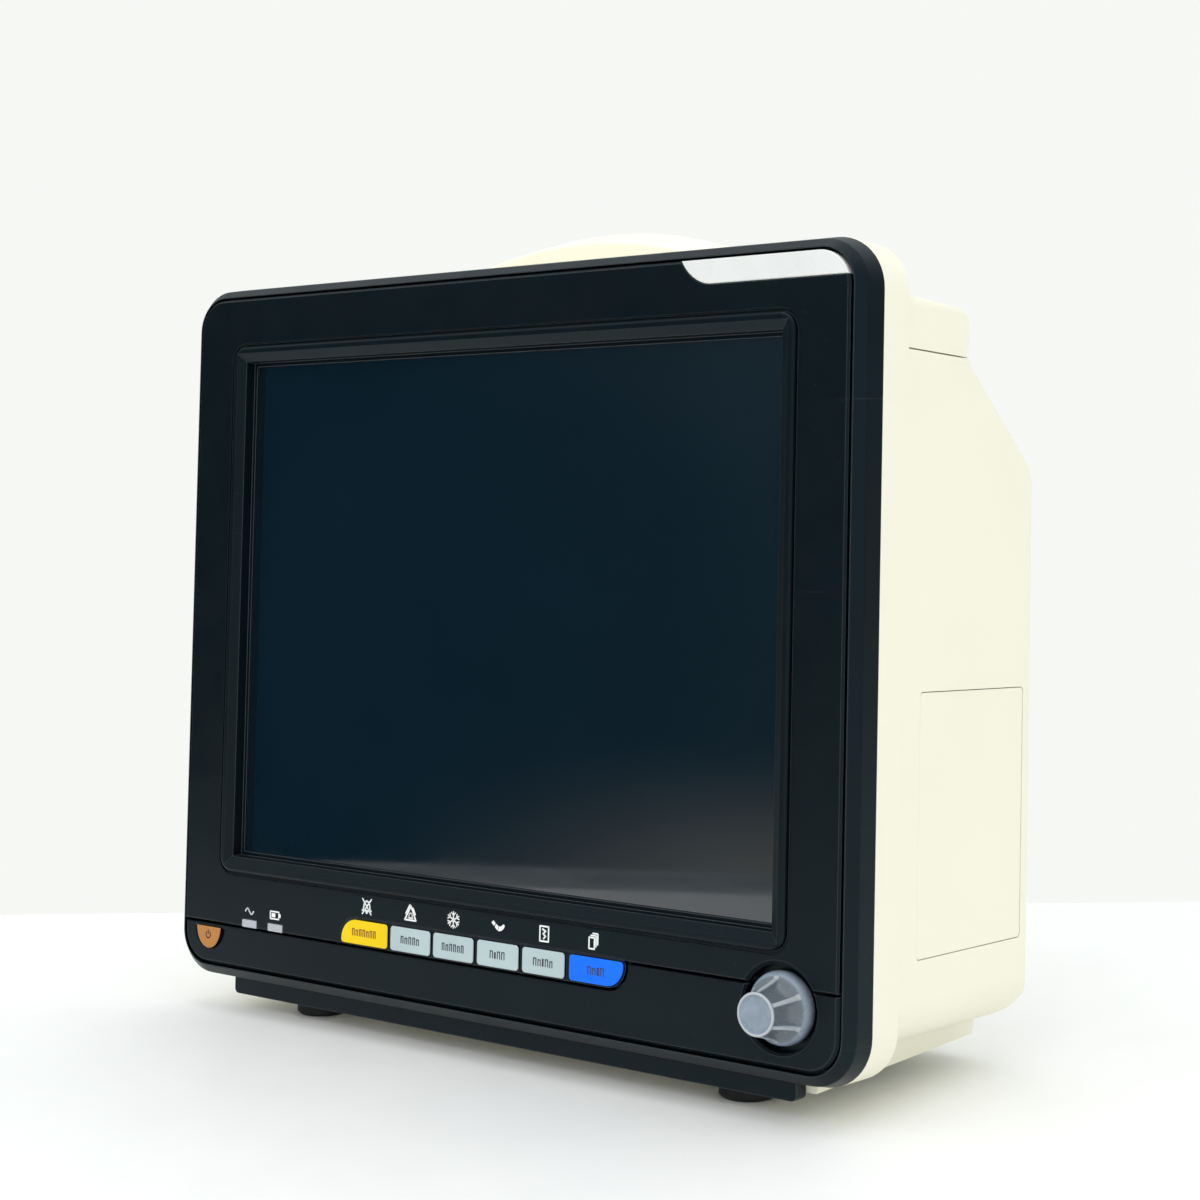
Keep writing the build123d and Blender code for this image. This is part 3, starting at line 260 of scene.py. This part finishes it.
def knob_resin():
    """Cloudy blue-grey translucent resin, with a painted highlight on the crests and the disc's rim and painted
    shade in the flutes.
    """
    color = (0.225, 0.275, 0.335)
    f = Finish("knob_resin", color, 0.24, Subsurface_Weight=0.15, Subsurface_Scale=0.003,
               Subsurface_Radius=(0.7, 0.8, 1.0))
    cloudy = f.blend(f.spread(f.noise(0.006, 4.0), 0, 1), tint(color, 0.86), tint(color, 1.16))
    painted_light = f.add("ShaderNodeAttribute", {"attribute_name": PAINTED_LIGHT_ATTRIBUTE}).outputs["Fac"]
    # painted shade in the flutes, then painted highlight on the crests and the disc's rim
    flute_shaded = f.blend(f.spread(painted_light, 0, 1, 0.0, -1.0), cloudy, KNOB_FLUTE_SHADE)
    f.set_color(f.blend(f.spread(painted_light, 0, 1, 0.0, 1.0), flute_shaded, KNOB_CREST_HIGHLIGHT))
    f.set_roughness(f.spread(f.noise(0.003, 3.0), 0.18, 0.32))
    f.bump((f.noise(0.5 * MM, 2.0), 0.006 * MM))
    return f.material


def rubber(name, color):
    """Matt rubber or foam with a fine dusty grain."""
    f = Finish(name, color, RUBBER_ROUGHNESS)
    f.set_color(f.blend(f.spread(f.noise(0.008, 5.0, 0.7), 0, 1), tint(color, 0.8), tint(color, 1.3)))
    f.set_roughness(f.spread(f.noise(0.004, 3.0), RUBBER_ROUGHNESS - 0.1, RUBBER_ROUGHNESS + 0.1))
    f.bump((f.noise(0.25 * MM, 3.0), 0.03 * MM))
    return f.material


def brushed(name, color, roughness):
    """Metal with fine brushing along X."""
    f = Finish(name, color, roughness, Metallic=1.0)
    mapped = f.add("ShaderNodeMapping", Vector=f.place, Scale=BRUSH_SCALE).outputs["Vector"]
    lines = f.add("ShaderNodeTexNoise", Vector=mapped, Scale=1.0, Detail=2.0).outputs["Fac"]
    f.set_color(f.blend(f.spread(f.noise(0.02, 3.0), 0, 1), tint(color, 0.88), tint(color, 1.05)))
    f.set_roughness(f.spread(lines, roughness - 0.08, roughness + 0.12))
    f.bump((lines, 0.004 * MM))
    return f.material


def circuit_board():
    """Green solder mask with the tracks showing through."""
    f = Finish("circuit_board_mask", (0.02, 0.14, 0.06), 0.35)
    tracks = f.spread(f.bands(1.3 * MM), 0, 1, 0.45, 0.55)
    f.set_color(f.blend(f.times(tracks, 0.5), (0.015, 0.11, 0.045), (0.03, 0.20, 0.09)))
    f.set_roughness(f.spread(f.noise(0.01), 0.3, 0.45))
    f.bump((tracks, 0.02 * MM))
    return f.material


def make_finishes():
    """One material for each material slot of the record."""
    metal = brushed("zinc_sheet", (0.55, 0.56, 0.57), 0.38)
    nickel = brushed("nickel", (0.62, 0.61, 0.58), 0.28)
    return {
        "black_plastic": black_moulded("black_shell", tint(BLACK, 1.1), 0.32),
        "panel_plastic": black_moulded("black_panel", BLACK, 0.34),
        "display_glass": display_film(),
        "gasket_foam": rubber("gasket_foam", (0.02, 0.02, 0.02)),
        "lcd_module": moulded("lcd_module", (0.015, 0.02, 0.025), 0.3),
        "sheet_metal": metal,
        "lamp_lens": lamp_diffuser(),
        "circuit_board": circuit_board(),
        "indicator_plastic": moulded("light_pipe", (0.42, 0.45, 0.48), 0.22, depth=0.004),
        "orange_key": key_cap("orange_key", (0.47, 0.200, 0.05)),
        "yellow_key": key_cap("yellow_key", (0.87, 0.61, 0.001)),
        "grey_key": key_cap("grey_key", (0.45, 0.55, 0.56)),
        "blue_key": key_cap("blue_key", (0.001, 0.155, 0.90)),
        "switch_metal": metal,
        "knob_plastic": knob_resin(),
        "steel": nickel,
        "cream_plastic": moulded("cream_shell", CREAM, 0.48, grain=0.45, depth=0.018, mottle=0.012),
        "grip_rubber": rubber("grip_liner", (0.50, 0.49, 0.42)),
        "sensor_plate": moulded("sensor_plate", (0.62, 0.61, 0.54), 0.45),
        "socket_green": moulded("socket_green", (0.03, 0.20, 0.09), 0.38),
        "socket_blue": moulded("socket_blue", (0.03, 0.10, 0.33), 0.38),
        "socket_brown": moulded("socket_brown", (0.09, 0.06, 0.045), 0.40),
        "socket_red": moulded("socket_red", (0.30, 0.03, 0.025), 0.38),
        "inlet_plastic": moulded("inlet_black", (0.012, 0.012, 0.013), 0.38),
        "brass": brushed("brass", (0.72, 0.55, 0.26), 0.3),
        "pump_metal": metal,
        "battery_wrap": moulded("battery_wrap", (0.03, 0.07, 0.25), 0.25),
        "speaker_cone": rubber("speaker_cone", (0.02, 0.02, 0.02)),
        "foot_rubber": rubber("foot_rubber", (0.012, 0.012, 0.013)),
    }


def dress_nodes(finishes):
    for entry in frame["record"]["subparts"]:
        mesh = NODES[entry["node"]].data
        mesh.materials.clear()
        mesh.materials.append(finishes[entry["material_slot"]])


# ---------------------------------------------------------------- pieces
def piece_from(name, vertices, faces, material, body, smooth=False):
    """Mesh piece given in panel coordinates, in millimetres."""
    mesh = bpy.data.meshes.new(name)
    mesh.from_pydata([on_panel(*(c * MM for c in v)) for v in vertices], [], faces)
    mesh.validate()
    shape = bmesh.new()
    shape.from_mesh(mesh)
    bmesh.ops.recalc_face_normals(shape, faces=shape.faces)
    shape.to_mesh(mesh)
    shape.free()
    mesh.polygons.foreach_set("use_smooth", [smooth] * len(mesh.polygons))
    mesh.materials.append(material)
    piece = bpy.data.objects.new(name, mesh)
    bpy.context.scene.collection.objects.link(piece)
    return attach(piece, body)


INK_THICK = 0.05                  # how far ink stands above the surface under it
INK_SUNK = 0.02                   # how far it reaches below


class Print:
    """Thin raised ink: strokes and filled shapes drawn in millimetres around a centre on the panel."""

    def __init__(self, x, z, y, scale=1.0, bold=1.0):
        self.at, self.y, self.scale, self.bold = (x, z), y, scale, bold
        self.vertices, self.faces = [], []

    def fill(self, points):
        first, n = len(self.vertices), len(points)
        for y in (self.y - INK_THICK, self.y + INK_SUNK):
            for x, z in points:
                self.vertices.append((self.at[0] + x * self.scale, y, self.at[1] + z * self.scale))
        self.faces.append([first + i for i in range(n)])
        for i in range(n):
            j = (i + 1) % n
            self.faces.append([first + i, first + j, first + n + j, first + n + i])

    def dot(self, x, z, r):
        self.fill([(x + r * cos(a * pi / 8), z + r * sin(a * pi / 8)) for a in range(16)])

    def line(self, points, width, closed=False):
        points, width = list(points), width * self.bold
        for x, z in points:
            self.dot(x, z, width / 2)
        for a, b in zip(points, points[1:] + points[:1] if closed else points[1:]):
            along = Vector((b[0] - a[0], b[1] - a[1]))
            side = Vector((-along.y, along.x)).normalized() * width / 2
            self.fill([(a[0] + side.x, a[1] + side.y), (b[0] + side.x, b[1] + side.y),
                       (b[0] - side.x, b[1] - side.y), (a[0] - side.x, a[1] - side.y)])

    def arc(self, x, z, r, start, end, width):
        steps = max(6, int(abs(end - start) / 12))
        turns = [radians(start + (end - start) * i / steps) for i in range(steps + 1)]
        self.line([(x + r * cos(a), z + r * sin(a)) for a in turns], width)

    def piece(self, name, material, slot, body="housing"):
        return piece_from(name, self.vertices, self.faces, material, body)


BELL = [
    (-2.2, -1.5), (-1.6, -0.9), (-1.4, 0.6), (-0.9, 1.6), (0, 2.0), (0.9, 1.6), (1.4, 0.6), (1.6, -0.9),
    (2.2, -1.5),
]


def draw_bell_off(ink):
    ink.line(BELL, 0.5, closed=True)
    ink.dot(0, -2.1, 0.55)
    ink.line([(-2.2, -2.7), (2.2, 2.7)], 0.42)
    ink.line([(-2.2, 2.7), (2.2, -2.7)], 0.42)


def draw_alarm_pause(ink):
    ink.line([(-2.7, -2.4), (2.7, -2.4), (0.2, 2.6)], 0.5, closed=True)
    ink.line([(x * 0.5 + 0.1, z * 0.5 - 0.9) for x, z in BELL], 0.42, closed=True)
    ink.line([(-2.3, -0.3), (-0.4, 2.9)], 0.45)
    ink.line([(2.3, -0.2), (1.2, 1.9)], 0.45)


def draw_snowflake(ink):
    for turn in (0, 60, 120, 180, 240, 300):
        c, s = cos(radians(turn + 90)), sin(radians(turn + 90))
        ink.line([(0, 0), (2.8 * c, 2.8 * s)], 0.42)
        for side in (-1, 1):
            tip = (2.5 * c - side * 0.95 * s, 2.5 * s + side * 0.95 * c)
            ink.line([(1.6 * c, 1.6 * s), tip], 0.36)


def draw_arm_cuff(ink):
    ink.fill([(-3.1, 1.2), (-2.2, 2.0), (-1.2, 1.1), (-1.9, 0.1)])
    ink.fill([(-1.0, 0.95), (0.2, 0.2), (-0.3, -1.3), (-1.5, -0.2)])
    ink.fill([(0.45, 0.15), (1.4, 0.3), (2.3, 1.1), (3.0, 0.7), (2.7, -0.2), (1.6, -1.2), (0.3, -1.5),
              (-0.05, -1.3)])


def draw_page_chart(ink):
    ink.line([(-1.9, -2.5), (1.9, -2.5), (1.9, 2.5), (-1.9, 2.5)], 0.45, closed=True)
    ink.line([(-0.7, 1.5), (0.6, 0.9), (-0.5, 0.0), (0.6, -0.8), (-0.2, -1.6)], 0.5)


def draw_pages(ink):
    ink.line([(-1.7, -2.5), (0.6, -2.5), (0.6, 1.2), (-1.7, 1.2)], 0.45, closed=True)
    ink.line([(-0.9, 1.9), (1.3, 1.9), (1.3, -1.7)], 0.42)
    ink.line([(-0.1, 2.6), (2.0, 2.6), (2.0, -0.9)], 0.42)


def draw_power(ink):
    ink.arc(0, -0.1, 1.25, 125, 415, 0.42)
    ink.line([(0, 0.2), (0, 1.7)], 0.42)


def draw_mains_wave(ink):
    ink.line([(-1.6 + 0.2 * i, 0.75 * sin(2 * pi * i / 16)) for i in range(17)], 0.42)


def draw_battery(ink):
    ink.line([(-1.9, -1.0), (1.5, -1.0), (1.5, 1.0), (-1.9, 1.0)], 0.36, closed=True)
    ink.fill([(1.7, -0.5), (2.2, -0.5), (2.2, 0.5), (1.7, 0.5)])
    ink.fill([(-1.4, -0.55), (0.1, -0.55), (0.1, 0.55), (-1.4, 0.55)])


BAR_GAP = 0.5
BAR_FOOT = -1.15
BAR_TOPS = (1.15, 0.75, 1.15)     # heights of the bars in turn
BAR_INSET = 0.22
BAR_STROKE = 0.40


def draw_greeked(ink, widths):
    """A word shown as a row of narrow arches."""
    x = -(sum(widths) + BAR_GAP * (len(widths) - 1)) / 2
    for i, width in enumerate(widths):
        left, right, top = x + BAR_INSET, x + width - BAR_INSET, BAR_TOPS[i % len(BAR_TOPS)]
        ink.line([(left, BAR_FOOT), (left, top), (right, top), (right, BAR_FOOT)], BAR_STROKE)
        x += width + BAR_GAP


ICON_Z = 12.1                     # height of the symbols above the knob's axis
LAMP_SYMBOL_UP = 4.7              # from a light pipe's centre to its symbol
POWER_SYMBOL_DOWN = 3.6           # from the power key's top edge to its symbol
ICONS = {                         # distance of each symbol from the knob's axis, and what is drawn
    "icon_alarm_off": (-179.2, draw_bell_off),
    "icon_alarm_pause": (-157.5, draw_alarm_pause),
    "icon_freeze": (-136.9, draw_snowflake),
    "icon_arm_cuff": (-116.1, draw_arm_cuff),
    "icon_chart": (-95.4, draw_page_chart),
    "icon_pages": (-74.2, draw_pages),
}
KEY_WORDS = {                     # widths of the bars on each key
    "silence_key": (1.3, 1.3, 1.2, 1.3, 1.3, 1.3, 1.2),
    "pause_key": (1.4, 1.4, 1.4, 1.3, 1.4),
    "freeze_key": (1.3, 1.3, 1.3, 1.3, 1.3, 1.3),
    "pressure_key": (1.5, 0.8, 1.5, 1.5),
    "print_key": (1.5, 1.4, 0.8, 1.5, 1.4),
    "main_key": (1.6, 1.5, 0.9, 1.6),
}


def add_prints():
    white = moulded("symbol_ink", (0.86, 0.87, 0.86), 0.5, grain=0.2, depth=0.004, mottle=0.06)
    dark = moulded("word_ink", (0.035, 0.040, 0.050), 0.5, grain=0.2, depth=0.004, mottle=0.2)
    red = moulded("word_ink_red", (0.23, 0.045, 0.012), 0.5, grain=0.2, depth=0.004, mottle=0.2)
    for name, (x, draw) in ICONS.items():
        ink = Print(x, ICON_Z, 0.0, bold=1.25)
        draw(ink)
        ink.piece(name, white, "panel_plastic")
    for node, draw in (("mains_indicator", draw_mains_wave), ("power_indicator", draw_battery)):
        lamp = panel_centre(node) / MM
        ink = Print(lamp.x, lamp.z + LAMP_SYMBOL_UP, 0.0, scale=1.35, bold=1.1)
        draw(ink)
        ink.piece(node + "_symbol", white, "panel_plastic")
    for node, widths in KEY_WORDS.items():
        low, high = panel_box(node)
        ink = Print((low.x + high.x) / 2 / MM, (low.z + high.z) / 2 / MM, low.y / MM)
        draw_greeked(ink, widths)
        ink.piece(node + "_word", red if node == "silence_key" else dark, NODE_SLOT[node], node)
    low, high = panel_box("power_key")
    ink = Print((low.x + high.x) / 2 / MM, high.z / MM - POWER_SYMBOL_DOWN, low.y / MM)
    draw_power(ink)
    ink.piece("power_symbol", dark, NODE_SLOT["power_key"], "power_key")


# Rotary knob: (depth, radius in the flutes, radius on the ridges), from the front disc to the back
KNOB_PROFILE = [
    (-12.05, 0.0, 0.0), (-12.05, 2.0, 2.0), (-12.05, 4.0, 4.0), (-12.05, 5.70, 5.70),
    (-12.14, 5.90, 5.90), (-12.42, 6.06, 6.06), (-12.50, 6.26, 6.26), (-12.46, 6.56, 6.56),
    (-12.30, 6.76, 6.76), (-12.05, 6.84, 6.84), (-11.60, 6.80, 6.86), (-11.20, 6.40, 7.02),
    (-10.80, 6.12, 7.12), (-9.5, 6.02, 7.46), (-8.0, 6.04, 7.86), (-6.5, 6.16, 8.26),
    (-5.0, 6.40, 8.68), (-4.0, 6.68, 8.96), (-3.2, 7.08, 9.20), (-2.5, 7.66, 9.42),
    (-1.9, 8.44, 9.62), (-1.45, 9.26, 9.82), (-1.10, 9.95, 10.08), (-0.70, 10.48, 10.48),
    (-0.25, 10.90, 10.90), (0.30, 11.22, 11.22), (0.90, 11.45, 11.45), (1.50, 11.57, 11.57),
    (2.20, 11.60, 11.60), (3.35, 11.60, 11.60), (3.70, 11.45, 11.45), (3.80, 11.10, 11.10),
    (3.80, 9.20, 9.20), (2.60, 9.10, 9.10), (2.60, 3.2, 3.2),
]
RIM_R = (6.0, 6.8)                # the disc's raised rim, which lies in front of DISC_Y
DISC_Y = -12.0
KNOB_RIDGES = 6
KNOB_STEPS = 288
CREST_FROM, CREST_RISE = 0.90, 0.08
CREST_SHARE = 0.72                # of a ridge's height; the rest swells gently between the flutes
HIGHLIGHT_FROM = 0.75                  # height up a ridge where its painted highlight line starts
# value of the painted shade in the flutes
FLUTE_SHADE = -0.8


def ridge(angle):
    """0 in the flutes, 1 on the narrow crest of a ridge."""
    wave = abs(cos(KNOB_RIDGES / 2 * (angle - pi / 6)))
    crest = min(1.0, max(0.0, (wave - CREST_FROM) / CREST_RISE))
    return CREST_SHARE * crest + (1 - CREST_SHARE) * wave ** 3


def crest_light_and_shade(y, flute, crest, angle):
    """Painted light: 1 for the painted highlight on the crests and the disc's rim, below 0 for painted shade in
    the flutes.
    """
    if RIM_R[0] <= flute <= RIM_R[1] and y < DISC_Y:
        return 1.0
    if crest - flute < 0.1:
        return 0.0
    height = ridge(angle)
    return (height - HIGHLIGHT_FROM) / (1 - HIGHLIGHT_FROM) if height > HIGHLIGHT_FROM else FLUTE_SHADE


def add_knob(material):
    vertices, faces, painted_light_values = [], [], []
    for y, flute, crest in KNOB_PROFILE:
        for i in range(KNOB_STEPS):
            angle = 2 * pi * i / KNOB_STEPS
            r = flute + (crest - flute) * ridge(angle)
            vertices.append((r * cos(angle), y, r * sin(angle)))
            painted_light_values.append(crest_light_and_shade(y, flute, crest, angle))
    for row in range(len(KNOB_PROFILE) - 1):
        for i in range(KNOB_STEPS):
            j = (i + 1) % KNOB_STEPS
            a, b = row * KNOB_STEPS, (row + 1) * KNOB_STEPS
            faces.append((a + i, a + j, b + j, b + i))
    knob = piece_from("knob_moulding", vertices, faces, material, "knob", smooth=True)
    knob.data.attributes.new(PAINTED_LIGHT_ATTRIBUTE, "FLOAT", "POINT").data.foreach_set("value", painted_light_values)
    shape = bmesh.new()
    shape.from_mesh(knob.data)
    bmesh.ops.remove_doubles(shape, verts=shape.verts, dist=1e-6)
    shape.to_mesh(knob.data)
    shape.free()
    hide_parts("control_knob")


# ---------------------------------------------------------------- stage, light and camera
CAMERA_AT = Vector((0.52278, -0.62900, 0.20144))
HEADING = radians(38.48)          # to the left of +Y
PITCH = radians(0.03)
ROLL = radians(-0.644)
LENS = 67.25
SHIFT = (-0.0127, -0.1007)
SENSOR = 36.0                     # width of the camera's sensor, in millimetres
TABLE_AHEAD = (-1.4, 1.06)        # the table's near and far edges, measured from the camera
TABLE_SIDES = (-0.645, 1.3)       # its left and right edges
SHELF_LEFT = -0.80                # the grey shelf lies left of the table
SHELF_GAP, SHELF_DROP = 0.005, 0.002
SLAB_THICK, SLAB_EDGE = 0.03, 0.004
SEEN = (0.925, 0.940, 0.912)      # the room behind the table
LIT = (0.91, 0.93, 0.95)          # the room as it lights matt surfaces
# The room as glossy surfaces mirror it: a dark corner in the direction DARK_CORNER, what is beside,
# below and above it, and a fair patch in the direction FRONT_RIGHT.
MIRRORED_DARK = (0.013, 0.048, 0.076)
MIRRORED_SIDE = (0.210, 0.290, 0.270)
MIRRORED_LOW = (0.50, 0.48, 0.42)
MIRRORED_HIGH = (0.75, 0.80, 0.82)
MIRRORED_FAIR = (0.60, 0.64, 0.66)
DARK_CORNER = (-0.80, -0.60, 0.0)
FRONT_RIGHT = (0.72, -0.69, 0.10)
LIGHTS = {                        # place, point looked at, size, power, mirrored by glossy surfaces
    "top_light": ((0.15, 0.0, 1.30), (0, 0, 0.12), (1.6, 1.3), 5.3, True),
    "right_light": ((1.45, 0.15, 0.60), (0, 0, 0.12), (1.0, 1.0), 0.9, False),
    "front_light": ((0.15, -1.50, 1.05), (0, 0, 0.08), (1.4, 0.9), 4.8, False),
    "left_light": ((-1.00, -0.95, 1.10), (0, 0, 0.02), (1.1, 0.9), 4.3, False),
}


def add_camera():
    data = bpy.data.cameras.new("camera")
    data.lens, data.sensor_width = LENS, SENSOR
    data.shift_x, data.shift_y = SHIFT
    data.clip_start = 0.01
    camera = bpy.data.objects.new("camera", data)
    turn = Matrix.Rotation(HEADING, 4, "Z") @ Matrix.Rotation(pi / 2 + PITCH, 4, "X")
    camera.matrix_world = Matrix.Translation(CAMERA_AT) @ turn @ Matrix.Rotation(ROLL, 4, "Z")
    bpy.context.scene.collection.objects.link(camera)
    bpy.context.scene.camera = camera


def slab(name, right, ahead, top, material):
    """Stage slab square to the camera; right and ahead are limits measured from the camera."""
    mesh = bpy.data.meshes.new(name)
    shape = bmesh.new()
    bmesh.ops.create_cube(shape, size=1.0)
    for v in shape.verts:
        v.co = Vector((right[0] + (v.co.x + 0.5) * (right[1] - right[0]),
                       ahead[0] + (v.co.y + 0.5) * (ahead[1] - ahead[0]),
                       top + (v.co.z - 0.5) * SLAB_THICK))
    bmesh.ops.bevel(shape, geom=shape.edges[:], offset=SLAB_EDGE, segments=3, affect="EDGES")
    shape.to_mesh(mesh)
    shape.free()
    table = bpy.data.objects.new(name, mesh)
    spot = Vector((CAMERA_AT.x, CAMERA_AT.y, 0))
    table.matrix_world = Matrix.Translation(spot) @ Matrix.Rotation(HEADING, 4, "Z")
    bpy.context.scene.collection.objects.link(table)
    mesh.materials.append(material)


def add_table():
    """White table top with a soft far edge, and a grey shelf beside it, outside the picture."""
    white = moulded("table_top", (0.90, 0.905, 0.885), 0.55, depth=0.0, mottle=0.01)
    grey = moulded("shelf_top", (0.34, 0.36, 0.35), 0.6, depth=0.0, mottle=0.3)
    slab("table", TABLE_SIDES, TABLE_AHEAD, 0.0, white)
    slab("shelf", (SHELF_LEFT, TABLE_SIDES[0] - SHELF_GAP), TABLE_AHEAD, -SHELF_DROP, grey)


def add_area(name, at, look, size, power, mirrored):
    data = bpy.data.lights.new(name, "AREA")
    data.shape, data.size, data.size_y = "RECTANGLE", size[0], size[1]
    data.energy = power
    light = bpy.data.objects.new(name, data)
    direction = Vector(look) - Vector(at)
    light.matrix_world = Matrix.Translation(at) @ direction.to_track_quat("-Z", "Y").to_matrix().to_4x4()
    light.visible_glossy = mirrored
    bpy.context.scene.collection.objects.link(light)


def add_world():
    """Pale even room; the surfaces that mirror it see a dark teal corner at the front left."""
    world = bpy.data.worlds.new("room")
    bpy.context.scene.world = world
    world.use_nodes = True
    tree = world.node_tree
    tree.nodes.clear()

    def node(kind, *inputs, **settings):
        made = tree.nodes.new(kind)
        for key, value in settings.items():
            setattr(made, key, value)
        for socket, value in zip([s for s in made.inputs if s.enabled], inputs):
            if isinstance(value, bpy.types.NodeSocket):
                tree.links.new(value, socket)
            elif value is not None:
                socket.default_value = value
        return made

    def background(color, strength):
        return node("ShaderNodeBackground", (*color, 1), strength).outputs[0]

    def ramp(value, low, high):
        """0 at low, 1 at high, with soft ends."""
        made = node("ShaderNodeMapRange", value, low, high, 0.0, 1.0, interpolation_type="SMOOTHSTEP")
        return made.outputs[0]

    def along(direction):
        """Cosine of the angle between the ray and a direction."""
        return node("ShaderNodeVectorMath", toward, direction, operation="DOT_PRODUCT").outputs["Value"]

    def both(a, b):
        return node("ShaderNodeMath", a, b, operation="MULTIPLY").outputs[0]

    def over(amount, below, color):
        return node("ShaderNodeMixShader", amount, below, background(color, 1.0)).outputs[0]

    ray = tree.nodes.new("ShaderNodeLightPath").outputs
    toward = tree.nodes.new("ShaderNodeTexCoord").outputs["Generated"]
    height = node("ShaderNodeSeparateXYZ", toward).outputs["Z"]
    left, fair = along(DARK_CORNER), along(FRONT_RIGHT)
    beside = ramp(left, 0.988, 0.940)
    low = both(ramp(height, -0.030, -0.100), beside)
    high = both(ramp(height, 0.05, 0.80), beside)
    mirrored = over(ramp(left, 0.995, 0.80), background(MIRRORED_DARK, 1.0), MIRRORED_SIDE)
    mirrored = over(ramp(fair, 0.75, 0.97), mirrored, MIRRORED_FAIR)
    mirrored = over(high, over(low, mirrored, MIRRORED_LOW), MIRRORED_HIGH)
    lit = node("ShaderNodeMixShader", ray["Is Glossy Ray"], background(LIT, 1.0), mirrored)
    seen = node("ShaderNodeMixShader", ray["Is Camera Ray"], lit.outputs[0], background(SEEN, 1.0))
    tree.links.new(seen.outputs[0], tree.nodes.new("ShaderNodeOutputWorld").inputs["Surface"])


def add_lights():
    for name, settings in LIGHTS.items():
        add_area(name, *settings)


bpy.context.scene.view_settings.view_transform = "Standard"
add_camera()
add_world()
add_lights()
add_table()
finishes = make_finishes()
dress_nodes(finishes)
add_prints()
add_knob(finishes["knob_plastic"])
